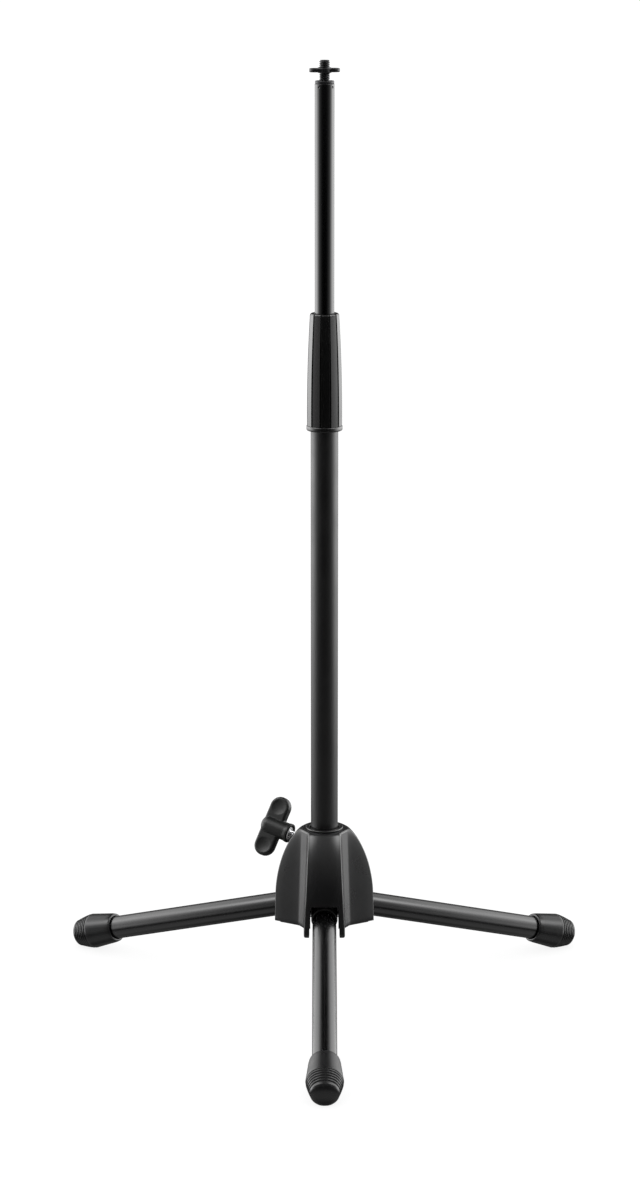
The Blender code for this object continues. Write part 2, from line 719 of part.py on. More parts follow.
def leg_slot(azimuth):
    """The slot that a leg folds down through, a little wider below its step."""
    wide = SLOT_HALF + SLOT_STEP
    low = -BELL_SKIRT - OVERCUT
    half = [(wide, low), (wide, -SLOT_STEP_DROP), (SLOT_HALF, -SLOT_STEP_DROP)]
    half += [(SLOT_HALF, SLOT_ROOF - SLOT_CORNER_DROP), (SLOT_HALF - SLOT_CORNER, SLOT_ROOF)]
    outline = half + [(-x, y) for x, y in reversed(half)]
    return prism(outline, 0.0, BELL_R + OVERCUT, facing_lobe(azimuth))


def slot_mouth(azimuth):
    """The slot's mouth in the end face, whose sides lean outwards as they go down."""
    low = -BELL_SKIRT - OVERCUT
    half = [(MOUTH_HALF_FOOT, low), (MOUTH_HALF_FOOT, -MOUTH_FLARE_DROP)]
    half.append((MOUTH_HALF_ROOF, SLOT_ROOF))
    outline = half + [(-x, y) for x, y in reversed(half)]
    return prism(outline, BELL_R - MOUTH_DEPTH, BELL_R + OVERCUT, facing_lobe(azimuth))


def lobe_cavity(azimuth):
    """The hollow above a leg slot, between the hub and the end face."""
    rings = []
    for height in CAVITY_LEVELS:
        half = min(lobe_section(height)[0] - BELL_WALL, SLOT_HALF - SLOT_CORNER)
        out = bell_radius(height) - BELL_WALL
        corners = [(HUB_R, -half), (out, -half), (out, half), (HUB_R, half)]
        turn = Matrix.Rotation(math.radians(azimuth), 3, "Z")
        rings.append([turn @ Vector((x, y, 0)) + Vector((0, 0, height)) for x, y in corners])
    return lofted(rings)


def stop_rib(azimuth):
    """The rib that a leg's hinge plug lies against when the leg is open."""
    slope = math.tan(LEG_SLOPE)
    top = (COLLAR_LEG_R + SEAT_GAP) / math.cos(LEG_SLOPE)
    start = HINGE_OUT + STOP_RIB_START
    end = HINGE_OUT + STOP_RIB_END
    outline = [
        (start, CAVITY_TOP + STOP_RIB_BITE),
        (start, top - STOP_RIB_START * slope),
        (end, top - STOP_RIB_END * slope),
        (end, CAVITY_TOP + STOP_RIB_BITE),
    ]
    half = SLOT_HALF + STOP_RIB_BITE
    return prism(outline, -half, half, across_lobe(azimuth))


def pin_channel(azimuth):
    """A blind hole for each end of a hinge pin, open to the bell's lower edge."""
    half = PIN_HALF_LENGTH + SEAT_GAP
    radius = PIN_R + SEAT_GAP
    outline = arc((HINGE_OUT, 0), radius, 0, 180, 8)
    low = -BELL_SKIRT - OVERCUT
    outline += [(HINGE_OUT - radius, low), (HINGE_OUT + radius, low)]
    return prism(outline, -half, half, across_lobe(azimuth))


def post_pocket(azimuth):
    """A drafted hollow in the post between two lobes."""
    turn = Matrix.Rotation(math.radians(azimuth), 3, "Z")
    rings = []
    tip = [(POST_POCKET_IN, POST_POCKET_TIP), (POST_POCKET_IN, -POST_POCKET_TIP)]
    for height, out, half in (
        (-BELL_SKIRT - SOFT_EDGE, POST_POCKET_OUT_FOOT, POST_POCKET_HALF_FOOT),
        (POST_POCKET_TOP, POST_POCKET_OUT_HEAD, POST_POCKET_HALF_HEAD),
    ):
        corners = tip + [(out, -half), (out, half)]
        rings.append([turn @ Vector((x, y, 0)) + Vector((0, 0, height)) for x, y in corners])
    return lofted(rings)


def screw_bore():
    """Stepped hole for the pad, the insert and the screw, along the clamp's axis."""
    wide_r = INSERT_R + SEAT_GAP
    wide_end = PAD_START + PAD_LENGTH + PAD_TRAVEL + INSERT_LENGTH + 2 * SEAT_GAP
    hole_r = SCREW_R + SCREW_HOLE_GAP
    profile = [
        (0, 0),
        (wide_r, 0),
        (wide_r, wide_end),
        (hole_r, wide_end),
        (hole_r, BELL_R + OVERCUT),
        (0, BELL_R + OVERCUT),
    ]
    shape = turned(profile, 24)
    bmesh.ops.transform(shape, matrix=clamp_matrix(), verts=shape.verts)
    return shape


def clamp_matrix():
    """From the clamp's frame, whose Z runs out along the screw, to the bell's frame."""
    lean = Matrix.Rotation(math.pi / 2 - SCREW_RISE, 4, "Y")
    turn = Matrix.Rotation(CLAMP_AZIMUTH, 4, "Z")
    return Matrix.Translation((0, 0, SCREW_HEIGHT)) @ turn @ lean


def base_housing(bell):
    azimuths = LEG_AZIMUTHS.values()
    steps = [("DIFFERENCE", leg_slot(azimuth)) for azimuth in azimuths]
    steps += [("DIFFERENCE", slot_mouth(azimuth)) for azimuth in azimuths]
    steps += [("DIFFERENCE", lobe_cavity(azimuth)) for azimuth in azimuths]
    steps += [("UNION", stop_rib(azimuth)) for azimuth in azimuths]
    steps += [("DIFFERENCE", pin_channel(azimuth)) for azimuth in azimuths]
    steps += [("DIFFERENCE", post_pocket(azimuth + 60)) for azimuth in azimuths]
    steps += [("DIFFERENCE", bell_bore()), ("DIFFERENCE", screw_bore())]
    housing = shaped("base_housing", bell_shell(), BELL_PLASTIC, steps, "MANIFOLD")
    return place(housing, bell)


def base_top_bush(bell):
    bore = WIDE_R + BELL_GAP
    seat = BELL_TOP + SEAT_GAP
    top = seat + TOP_BUSH_LIP
    profile = [
        (bore, BELL_TOP - TOP_BUSH_LENGTH),
        (TOP_BUSH_R, BELL_TOP - TOP_BUSH_LENGTH),
        (TOP_BUSH_R, seat),
        (TOP_BUSH_LIP_R, seat),
        (TOP_BUSH_LIP_R, top - SOFT_EDGE),
        (TOP_BUSH_LIP_R - SOFT_EDGE, top),
        (bore + SOFT_EDGE, top),
        (bore, top - SOFT_EDGE),
    ]
    return place(mesh_object("base_top_bush", turned(profile, 36, ring=True), NYLON), bell)


def base_lower_bush(bell):
    top = LOW_BUSH_BOTTOM + LOW_BUSH_LENGTH
    profile = sleeve(WIDE_R + RUN_GAP, LOW_BUSH_R, LOW_BUSH_BOTTOM, top, SOFT_EDGE)
    return place(mesh_object("base_lower_bush", turned(profile, 32, ring=True), NYLON), bell)


# Clamp screw: heights are along its axis from the mast's axis

def clamp_insert(clamp):
    low = PAD_START + PAD_LENGTH + PAD_TRAVEL + SEAT_GAP
    profile = sleeve(SCREW_R + SEAT_GAP, INSERT_R, low, low + INSERT_LENGTH, SOFT_EDGE)
    return place(mesh_object("clamp_insert", turned(profile, 24, ring=True), BRASS), clamp)


def clamp_pad(clamp):
    end = PAD_START + PAD_LENGTH
    socket_r = NOSE_R + SEAT_GAP
    profile = [
        (0, PAD_START),
        (PAD_R - PAD_EDGE, PAD_START),
        (PAD_R, PAD_START + PAD_EDGE),
        (PAD_R, end),
        (socket_r, end),
        (socket_r, end - PAD_SOCKET_DEPTH),
        (0, end - PAD_SOCKET_DEPTH),
    ]
    return place(mesh_object("clamp_pad", turned(profile, 20), NYLON), clamp)


def clamp_screw(screw):
    """A shank with a thin nose in the pad and its head end moulded into the knob."""
    shoulder = PAD_START + PAD_LENGTH + SEAT_GAP
    tip = shoulder - PAD_SOCKET_DEPTH + SEAT_GAP
    end = KNOB_START + SCREW_IN_KNOB
    profile = [
        (0, tip),
        (NOSE_R, tip),
        (NOSE_R, shoulder),
        (SCREW_R - SOFT_EDGE, shoulder),
        (SCREW_R, shoulder + SOFT_EDGE),
        (SCREW_R, end),
        (0, end),
    ]
    return place(mesh_object("clamp_screw", turned(profile, 20), STEEL), screw)


def clamp_collar(screw):
    """A steel washer at the bottom of the recess in the knob's inner end."""
    start = KNOB_START + COLLAR_DEPTH
    profile = sleeve(SCREW_R + SEAT_GAP, COLLAR_R, start, start + COLLAR_LENGTH, EDGE)
    return place(mesh_object("clamp_collar", turned(profile, 24, ring=True), STEEL), screw)


def wing_knob(screw):
    """A round hub with two dished wings that stand along its X."""
    end = KNOB_START + KNOB_LENGTH
    hub = [
        (0, KNOB_START),
        (KNOB_RIM_R - EDGE, KNOB_START),
        (KNOB_RIM_R, KNOB_START + SOFT_EDGE),
        (KNOB_RIM_R - EDGE, KNOB_START + 3 * SOFT_EDGE),
        (KNOB_R, KNOB_START + KNOB_FLARE),
    ]
    for share in (0.0, 0.37, 0.66, 0.91, 1.0):
        radius = KNOB_R * math.sqrt(1.0 - share * share)
        hub.append((radius, end - KNOB_DOME * (1.0 - share)))
    middle = KNOB_START + WING_CENTRE
    outline = arc((middle, WING_OUT), WING_R, 0, 180, 12)
    outline += arc((middle, -WING_OUT), WING_R, 180, 360, 12)
    upright = Matrix(((0, 1, 0, 0), (0, 0, 1, 0), (1, 0, 0, 0), (0, 0, 0, 1)))
    wings = prism(outline, -WING_THICKNESS / 2, WING_THICKNESS / 2, upright)
    bmesh.ops.bevel(
        wings,
        geom=[edge for edge in wings.edges if edge.calc_face_angle(0) > 1.2],
        offset=WING_ROUND,
        segments=2,
        affect="EDGES",
    )
    steps = [("UNION", wings)]
    for side in (-1, 1):
        for face in (-1, 1):
            ball = bmesh.new()
            bmesh.ops.create_uvsphere(ball, u_segments=20, v_segments=12, radius=WING_DISH_R)
            away = face * (WING_THICKNESS / 2 + WING_DISH_R - WING_DISH)
            centre = Matrix.Translation((side * WING_OUT, away, middle))
            bmesh.ops.transform(ball, matrix=centre, verts=ball.verts)
            steps.append(("DIFFERENCE", ball))
    socket_end = KNOB_START + COLLAR_DEPTH + COLLAR_LENGTH + SEAT_GAP
    socket = rod(COLLAR_R + SEAT_GAP, KNOB_START - OVERCUT, socket_end, 24)
    steps.append(("DIFFERENCE", socket))
    shank_end = KNOB_START + SCREW_IN_KNOB + SEAT_GAP
    hole = rod(SCREW_R + SEAT_GAP, KNOB_START - OVERCUT, shank_end, 20)
    steps.append(("DIFFERENCE", hole))
    knob = shaped("wing_knob", turned(hub, 28), KNOB_PLASTIC, steps)
    return place(knob, screw, rotation=(0, 0, WING_TURN))


# Legs: a leg's own Z runs out along it from the hinge, and its Y is the hinge's axis

LEG_TILT = (0, math.pi / 2 + LEG_SLOPE, 0)


def hinge_plug_mesh():
    """A round plug with a half-round end about the hinge, and a shank in the tube."""
    shank_r = LEG_BORE - SEAT_GAP
    end = COLLAR_REACH + PLUG_SHANK
    start = -COLLAR_LEG_R - OVERCUT
    profile = [
        (0, start),
        (COLLAR_LEG_R, start),
        (COLLAR_LEG_R, COLLAR_REACH - SOFT_EDGE),
        (COLLAR_LEG_R - SOFT_EDGE, COLLAR_REACH),
        (shank_r, COLLAR_REACH),
        (shank_r, end - 2 * SOFT_EDGE),
        (shank_r - SOFT_EDGE, end),
        (0, end),
    ]
    keep_r = COLLAR_LEG_R + HINGE_SKIN
    keep = arc((0, 0), keep_r, 180, 360, 14)
    keep += [(keep_r, end + OVERCUT), (-keep_r, end + OVERCUT)]
    half = COLLAR_LEG_R + OVERCUT
    upright = Matrix(((1, 0, 0, 0), (0, 0, -1, 0), (0, 1, 0, 0), (0, 0, 0, 1)))
    steps = [
        ("INTERSECT", prism(keep, -half, half, upright)),
        ("DIFFERENCE", rod(PIN_R + RUN_GAP, -half, half, 20, Matrix.Rotation(math.pi / 2, 4, "X"))),
    ]
    return shaped("leg_hinge", turned(profile, 28), NYLON, steps)


def leg_tube_mesh():
    low = COLLAR_REACH + SEAT_GAP
    profile = sleeve(LEG_BORE, LEG_R, low, LEG_END)
    return mesh_object("leg_tube", turned(profile, 28, ring=True), PAINT)


def foot_mesh():
    """A rubber foot on the tube's end, cut flat where it stands on the floor."""
    socket_r = LEG_R + SEAT_GAP
    floor = LEG_END + SEAT_GAP
    profile = [(0, floor), (socket_r, floor), (socket_r, FOOT_RIM)] + foot_profile()
    shape = turned(profile, 28)
    down = Vector((math.cos(LEG_SLOPE), 0, math.sin(LEG_SLOPE)))
    bmesh.ops.bisect_plane(
        shape,
        geom=shape.verts[:] + shape.edges[:] + shape.faces[:],
        plane_co=down * HINGE_Z,
        plane_no=down,
        clear_outer=True,
    )
    rim = [edge for edge in shape.edges if edge.is_boundary]
    bmesh.ops.contextual_create(shape, geom=rim)
    return mesh_object("leg_foot", shape, RUBBER)


def pin_mesh():
    profile = [
        (0, -PIN_HALF_LENGTH),
        (PIN_R - EDGE, -PIN_HALF_LENGTH),
        (PIN_R, -PIN_HALF_LENGTH + EDGE),
        (PIN_R, PIN_HALF_LENGTH - EDGE),
        (PIN_R - EDGE, PIN_HALF_LENGTH),
        (0, PIN_HALF_LENGTH),
    ]
    return mesh_object("leg_pin", turned(profile, 16), STEEL)


def legs(bell):
    """Three alike legs, each on an empty at its hinge."""
    hinge_plug, tube = hinge_plug_mesh(), leg_tube_mesh()
    foot, pin = foot_mesh(), pin_mesh()
    for side, azimuth in LEG_AZIMUTHS.items():
        turn = math.radians(azimuth)
        seat = (HINGE_OUT * math.cos(turn), HINGE_OUT * math.sin(turn), 0)
        hinge = empty("leg_axis_" + side, bell, seat, (0, 0, turn))
        for model in (hinge_plug, tube, foot):
            copy = bpy.data.objects.new(model.name + "_" + side, model.data)
            bpy.context.scene.collection.objects.link(copy)
            place(copy, hinge, rotation=LEG_TILT)
        copy = bpy.data.objects.new("leg_pin_" + side, pin.data)
        bpy.context.scene.collection.objects.link(copy)
        place(copy, hinge, rotation=(math.pi / 2, 0, 0))
    for model in (hinge_plug, tube, foot, pin):
        bpy.data.objects.remove(model)


def build():
    mast = empty("mast_axis", None, (0, MAST_Y, 0))
    lower_tube(mast)
    tube_end_cap(mast)
    clutch_body(mast)
    collet(mast)
    clutch_grip(empty("grip_axis", mast, (0, 0, GRIP_BOTTOM)))

    slider = empty("slider_axis", mast)
    upper_tube(slider)
    guide_bush(slider)
    guide_bush_keeper(slider)
    stud_plug(slider)
    thread_stud(slider)
    locknut(empty("nut_axis", slider, (0, 0, FLANGE_TOP + NUT_HEIGHT), (0, 0, NUT_TURN)))

    bell = empty("bell_axis", mast, (0, 0, HINGE_Z))
    base_housing(bell)
    base_top_bush(bell)
    base_lower_bush(bell)
    legs(bell)

    lean = (0, math.pi / 2 - SCREW_RISE, CLAMP_AZIMUTH)
    clamp = empty("clamp_axis", bell, (0, 0, SCREW_HEIGHT), lean)
    clamp_insert(clamp)
    clamp_pad(clamp)
    screw = empty("screw_axis", clamp)
    clamp_screw(screw)
    clamp_collar(screw)
    wing_knob(screw)


build()
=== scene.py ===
# %% [markdown]
# # A tripod stand for a percussion accessory
#
# The stand is a telescoping mast of two black steel tubes, a twist clutch
# that holds the thin tube, a moulded bell with three folding legs, and a
# winged screw that clamps the bell on the wide tube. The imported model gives
# every piece its place. This file builds the surfaces that are seen round
# those solids, with finer shapes and with materials made of nodes.

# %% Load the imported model
import math

import bmesh
import bpy
from mathutils import Matrix, Vector


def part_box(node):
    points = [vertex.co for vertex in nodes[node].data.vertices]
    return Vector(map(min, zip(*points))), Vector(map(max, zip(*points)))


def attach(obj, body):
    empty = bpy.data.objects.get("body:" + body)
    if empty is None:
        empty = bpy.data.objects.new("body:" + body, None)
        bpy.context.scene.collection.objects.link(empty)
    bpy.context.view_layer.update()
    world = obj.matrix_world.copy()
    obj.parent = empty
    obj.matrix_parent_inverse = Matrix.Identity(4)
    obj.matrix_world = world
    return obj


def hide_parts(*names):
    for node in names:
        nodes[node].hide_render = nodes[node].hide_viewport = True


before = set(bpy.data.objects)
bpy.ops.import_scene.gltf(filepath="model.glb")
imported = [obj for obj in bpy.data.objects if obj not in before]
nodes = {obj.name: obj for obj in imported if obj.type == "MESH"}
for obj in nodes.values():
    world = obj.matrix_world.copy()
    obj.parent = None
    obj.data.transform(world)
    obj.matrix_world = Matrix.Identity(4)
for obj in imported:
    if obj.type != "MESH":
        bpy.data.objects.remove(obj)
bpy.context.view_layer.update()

# %% [markdown]
# ## Sizes
#
# Sizes are read from the solids where they can be, so that each surface
# sits on its solid. The rest were measured on the photograph.

# %% Sizes shared by several pieces
def span(name):
    """The lowest and the highest Z of a solid."""
    return [corner.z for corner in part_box(name)]


def mm(*sizes):
    """Sizes given in millimetres."""
    return [size * MM for size in sizes]


MM = 0.001
MAST_Y = (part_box("lower_tube")[0].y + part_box("lower_tube")[1].y) / 2
MAST = Vector((0, MAST_Y, 0))
ON_MAST = Matrix.Translation(MAST)
WIDE_R, WIDE_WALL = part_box("lower_tube")[1].x, 1.5 * MM
THIN_R, THIN_WALL = mm(8.75, 1.2)
HINGE_Z = sum(span("leg_pin_front")) / 2
HINGE_OUT = 26 * MM
LEG_AZIMUTHS = {"front": -90.0, "right": 30.0, "left": 150.0}
LEG_SLOPE = math.radians(16.95)
SEAT = 0.3 * MM
SLIDE = 0.35 * MM
RING_AIR = 0.9 * MM
print("mast y:", round(MAST_Y, 5), "wide radius:", round(WIDE_R, 5), "hinge z:", round(HINGE_Z, 5))

# %% [markdown]
# ## Small tools for working by hand
#
# Each piece starts as a primitive and is shaped in edit mode. An operator
# works on what is selected, so these helpers select, open and close a piece.

# %% Selection helpers
def clear():
    """Leaves edit mode with nothing selected."""
    if bpy.context.mode != "OBJECT":
        bpy.ops.object.mode_set(mode="OBJECT")
    bpy.ops.object.select_all(action="DESELECT")


def only(piece):
    """Leaves one piece selected and active."""
    clear()
    piece.select_set(True)
    bpy.context.view_layer.objects.active = piece


def open_piece(piece, action="DESELECT"):
    """Opens one piece in edit mode with none or all of it selected."""
    only(piece)
    bpy.ops.object.mode_set(mode="EDIT")
    bpy.ops.mesh.select_mode(type="VERT")
    bpy.ops.mesh.select_all(action=action)


def added(name):
    """Names the primitive that was just added."""
    piece = bpy.context.object
    piece.name = name
    piece.data.name = name
    return piece


def pick(piece, kind, test):
    """Selects the points or the edges of an open piece that pass a test."""
    bpy.ops.mesh.select_all(action="DESELECT")
    bpy.ops.mesh.select_mode(type=kind)
    shape = bmesh.from_edit_mesh(piece.data)
    for part in shape.verts if kind == "VERT" else shape.edges:
        if test(part):
            part.select = True
    shape.select_flush_mode()
    bmesh.update_edit_mesh(piece.data)


def place_points(piece, places):
    """Moves the points of an open piece, in their order, to new places."""
    shape = bmesh.from_edit_mesh(piece.data)
    for point, place in zip(shape.verts, places):
        point.co = place
    bmesh.update_edit_mesh(piece.data)


def close_piece(piece, angle=35.0):
    """Merges doubles, turns faces outwards, and shades smooth up to an angle."""
    open_piece(piece, "SELECT")
    bpy.ops.mesh.remove_doubles(threshold=2e-6)
    bpy.ops.mesh.normals_make_consistent(inside=False)
    bpy.ops.object.mode_set(mode="OBJECT")
    bpy.ops.object.shade_smooth_by_angle(angle=math.radians(angle))
    clear()
    return piece


print("helpers ready")

# %% [markdown]
# ## Turned pieces
#
# Tubes, bushes and feet are round, so one tool makes them all: a circle is
# extruded and scaled from level to level, as on a lathe. An outline's
# corners are rounded first, because only a rounded edge catches the light.

# %% The lathe
ROUND_STEPS = 4


def rounded(corners):
    """Turns (radius, height, round) corners into (radius, height) points."""
    points = []
    for i, (radius, height, size) in enumerate(corners):
        here = Vector((radius, height))
        if not size or i in (0, len(corners) - 1):
            points.append((radius, height))
            continue
        before = (Vector(corners[i - 1][:2]) - here).normalized()
        after = (Vector(corners[i + 1][:2]) - here).normalized()
        bend = before.angle(after)
        reach = size / math.tan(bend / 2)
        start, end = here + before * reach, here + after * reach
        middle = here + (before + after).normalized() * (size / math.sin(bend / 2))
        for k in range(ROUND_STEPS + 1):
            chord = start.lerp(end, k / ROUND_STEPS) - middle
            on_arc = middle + chord.normalized() * size
            points.append((on_arc.x, on_arc.y))
    return points


def lathe(name, levels, sides, ring=False):
    """A piece turned about Z from (radius, height) levels; a ring joins its ends."""
    levels = list(levels) + ([levels[0]] if ring else [])
    radius, height = levels[0]
    fill = "NOTHING" if ring else "NGON"
    bpy.ops.mesh.primitive_circle_add(
        vertices=sides, radius=radius, fill_type=fill, location=(0, 0, height)
    )
    piece = added(name)
    bpy.ops.object.transform_apply(location=True)
    open_piece(piece, "SELECT")
    extrude = bpy.ops.mesh.extrude_edges_move if ring else bpy.ops.mesh.extrude_region_move
    for new_radius, new_height in levels[1:]:
        extrude(TRANSFORM_OT_translate={"value": (0, 0, new_height - height)})
        share = new_radius / radius
        bpy.ops.transform.resize(value=(share, share, 1), center_override=(0, 0, new_height))
        radius, height = new_radius, new_height
    return close_piece(piece)


def ring_piece(name, corners, sides):
    """A ring with all corners rounded: its outline starts half way up its bore."""
    middle = (corners[0][0], (corners[0][1] + corners[-1][1]) / 2, 0)
    return lathe(name, rounded([middle, *corners, middle])[:-1], sides, ring=True)


def onto(piece, matrix):
    """Moves a finished piece by a matrix and leaves its object at the origin."""
    only(piece)
    piece.matrix_world = matrix @ piece.matrix_world
    bpy.ops.object.transform_apply(location=True, rotation=True, scale=True)
    clear()
    return piece


def copied(piece, name):
    """A copy with its own mesh."""
    only(piece)
    bpy.ops.object.duplicate(linked=False)
    return added(name)


print("a rounded corner has", len(rounded([(0, 0, 0), (1, 0, 0.1), (1, 1, 0)])) - 2, "points")

# %% [markdown]
# ## Cutting
#
# Slots, holes and hollows are cut with Boolean modifiers, each applied
# at once, and the cutter is then deleted.

# %% Boolean tools
def modified(piece, kind, **settings):
    """Adds one modifier to a piece and applies it."""
    step = piece.modifiers.new(kind, kind)
    for key, value in settings.items():
        setattr(step, key, value)
    only(piece)
    bpy.ops.object.modifier_apply(modifier=step.name)


def cut(piece, tool, operation="DIFFERENCE", solver="EXACT"):
    """Applies one Boolean and deletes its tool."""
    modified(piece, "BOOLEAN", operation=operation, solver=solver, object=tool)
    bpy.data.objects.remove(tool)


def bar(name, radius, low, high, sides, matrix=Matrix.Identity(4)):
    """A round bar about Z between two heights, moved by a matrix."""
    bpy.ops.mesh.primitive_cylinder_add(
        vertices=sides, radius=radius, depth=high - low, location=(0, 0, (low + high) / 2)
    )
    return onto(added(name), matrix)


def slab(name, outline, low, high, matrix=Matrix.Identity(4)):
    """A flat outline in XY, extruded between two heights and moved by a matrix."""
    bpy.ops.mesh.primitive_circle_add(vertices=len(outline), fill_type="NGON")
    piece = added(name)
    open_piece(piece, "SELECT")
    place_points(piece, [(x, y, low) for x, y in outline])
    bpy.ops.mesh.extrude_region_move(TRANSFORM_OT_translate={"value": (0, 0, high - low)})
    bpy.ops.mesh.select_all(action="SELECT")
    bpy.ops.mesh.normals_make_consistent(inside=False)
    bpy.ops.object.mode_set(mode="OBJECT")
    return onto(piece, matrix)


def soften_slab(piece, width, segments):
    """Rounds the edges round both flat sides of a slab."""
    open_piece(piece)
    pick(piece, "EDGE", lambda edge: abs(edge.verts[0].co.z - edge.verts[1].co.z) < 1e-6)
    bpy.ops.mesh.bevel(offset=width, segments=segments, affect="EDGES")
    return close_piece(piece)


def arc(centre, radius, start, end, steps):
    """Points of an arc, with its angles in degrees."""
    points = []
    for i in range(steps + 1):
        angle = math.radians(start + (end - start) * i / steps)
        points.append((centre[0] + radius * math.cos(angle), centre[1] + radius * math.sin(angle)))
    return points


print("cutting tools ready")

# %% [markdown]
# ## Node groups for the finishes
#
# The materials share three effects, each a node group: a fine grain for the
# bump, smudges for the roughness, and lighter convex edges, which are partly
# rubbed wear and partly a painted highlight.

# %% Building blocks for materials
def feed(tree, made, inputs):
    """Gives each input of a node its value, or a link from the socket that feeds it."""
    for key, value in inputs.items():
        if isinstance(value, bpy.types.NodeSocket):
            tree.links.new(value, made.inputs[key])
        else:
            made.inputs[key].default_value = value


def node(tree, kind, inputs=None, **settings):
    """A new node with its settings and its inputs."""
    made = tree.nodes.new(kind)
    for key, value in settings.items():
        setattr(made, key, value)
    feed(tree, made, inputs or {})
    return made


def noise(tree, scale, detail, roughness=0.5, distortion=0.0):
    """Noise that lies still on the object, whichever way it is turned."""
    return node(tree, "ShaderNodeTexNoise", {
        "Vector": node(tree, "ShaderNodeTexCoord").outputs["Object"],
        "Scale": scale, "Detail": detail, "Roughness": roughness, "Distortion": distortion,
    }).outputs["Fac"]


def ramp(tree, value, low, high, start=0.0, end=1.0, kind="SMOOTHSTEP"):
    """Carries a value from one range over into another."""
    limits = {"From Min": low, "From Max": high, "To Min": start, "To Max": end}
    inputs = {"Value": value, **limits}
    return node(tree, "ShaderNodeMapRange", inputs, interpolation_type=kind).outputs[0]


def maths(tree, operation, *values, **settings):
    """The result of a Math node."""
    inputs = dict(enumerate(values))
    return node(tree, "ShaderNodeMath", inputs, operation=operation, **settings).outputs[0]


def new_group(name, inputs, outputs):
    """An empty shader group with its sockets; an input is a name and a default."""
    group = bpy.data.node_groups.new(name, "ShaderNodeTree")
    for title, value in inputs:
        socket = group.interface.new_socket(title, in_out="INPUT", socket_type="NodeSocketFloat")
        socket.default_value = value
    for title in outputs:
        group.interface.new_socket(title, in_out="OUTPUT", socket_type="NodeSocketFloat")
    return group, group.nodes.new("NodeGroupInput").outputs, group.nodes.new("NodeGroupOutput")


def grain_group():
    """Height and a speckle mask of a fine moulded or sprayed surface."""
    group, given, out = new_group(
        "fine_grain", [("Grain Scale", 3000.0), ("Wave Scale", 120.0)], ["Height", "Speckle"]
    )
    fine = noise(group, given["Grain Scale"], 3.0, 0.6)
    wave = noise(group, given["Wave Scale"], 1.0, 0.4)
    height = maths(group, "MULTIPLY_ADD", fine, 0.35, wave)
    speckle = ramp(group, fine, 0.35, 0.75, kind="LINEAR")
    feed(group, out, {"Height": height, "Speckle": speckle})
    return group


def smudge_group():
    """A roughness that drifts over a surface as handling and dust leave it."""
    group, given, out = new_group(
        "smudges", [("Scale", 25.0), ("Least", 0.2), ("Most", 0.3)], ["Roughness"]
    )
    cloud = ramp(group, noise(group, given["Scale"], 5.0, 0.65, 0.6), 0.35, 0.7)
    level = ramp(group, cloud, 0.0, 1.0, given["Least"], given["Most"], kind="LINEAR")
    feed(group, out, {"Roughness": level})
    return group


def wear_and_highlight_group():
    """A mask of the convex edges, broken up by noise: rubbed wear and a painted edge highlight."""
    group, given, out = new_group("edge_wear_and_painted_highlight", [("Start", 0.52), ("Breaks", 400.0)], ["Mask"])
    bend = node(group, "ShaderNodeNewGeometry").outputs["Pointiness"]
    edge = ramp(group, bend, given["Start"], 0.62)
    edge_patches = noise(group, given["Breaks"], 4.0)
    feed(group, out, {"Mask": maths(group, "MULTIPLY", edge, edge_patches, use_clamp=True)})
    return group


# The edge group lightens convex edges: part rubbed wear, part a painted highlight.
GRAIN, SMUDGES, EDGE_WEAR_AND_HIGHLIGHT = grain_group(), smudge_group(), wear_and_highlight_group()
print("groups:", [group.name for group in (GRAIN, SMUDGES, EDGE_WEAR_AND_HIGHLIGHT)])

# %% One maker for all finishes
# The default edge colour stands for rubbed wear and a painted edge highlight.
SPECKLE_GAIN, COAT_SHARE, RUBBED_AND_LIT_EDGE = 1.35, 0.7, (0.02, 0.02, 0.02)


def finish(name, colour, roughness, grain, bump, worn_and_lit=RUBBED_AND_LIT_EDGE, wear_and_highlight=0.4, metallic=0.0, coat=0.0, ior=1.5):
    """A material whose colour, roughness and bump all vary over the surface.

    roughness is (least, most), grain is (fine scale, wave scale) and bump is a
    height in metres. The edge colour and its share lighten the convex edges,
    partly as rubbed wear and partly as a painted highlight.
    """
    made = bpy.data.materials.new(name)
    made.use_nodes = True
    tree = made.node_tree

    def effect(group, inputs):
        return node(tree, "ShaderNodeGroup", inputs, node_tree=group).outputs

    def mixed(factor, first, second):
        inputs = {"Factor": factor, "A": first, "B": second}
        return node(tree, "ShaderNodeMix", inputs, data_type="RGBA").outputs["Result"]

    fine = effect(GRAIN, {"Grain Scale": grain[0], "Wave Scale": grain[1]})
    smudges = effect(SMUDGES, {"Least": roughness[0], "Most": roughness[1]})
    # Convex edges take the lighter edge colour: rubbed wear and a painted highlight.
    edges = maths(tree, "MULTIPLY", effect(EDGE_WEAR_AND_HIGHLIGHT, {})["Mask"], wear_and_highlight)
    speckled = mixed(fine["Speckle"], (*colour, 1), (*[c * SPECKLE_GAIN for c in colour], 1))
    relief = {"Strength": 1.0, "Distance": bump, "Height": fine["Height"]}
    feed(tree, tree.nodes["Principled BSDF"], {
        "Base Color": mixed(edges, speckled, (*worn_and_lit, 1)),
        "Roughness": smudges["Roughness"],
        "Normal": node(tree, "ShaderNodeBump", relief).outputs["Normal"],
        "Metallic": metallic, "IOR": ior,
        "Coat Weight": coat, "Coat Roughness": roughness[0] * COAT_SHARE,
    })
    return made


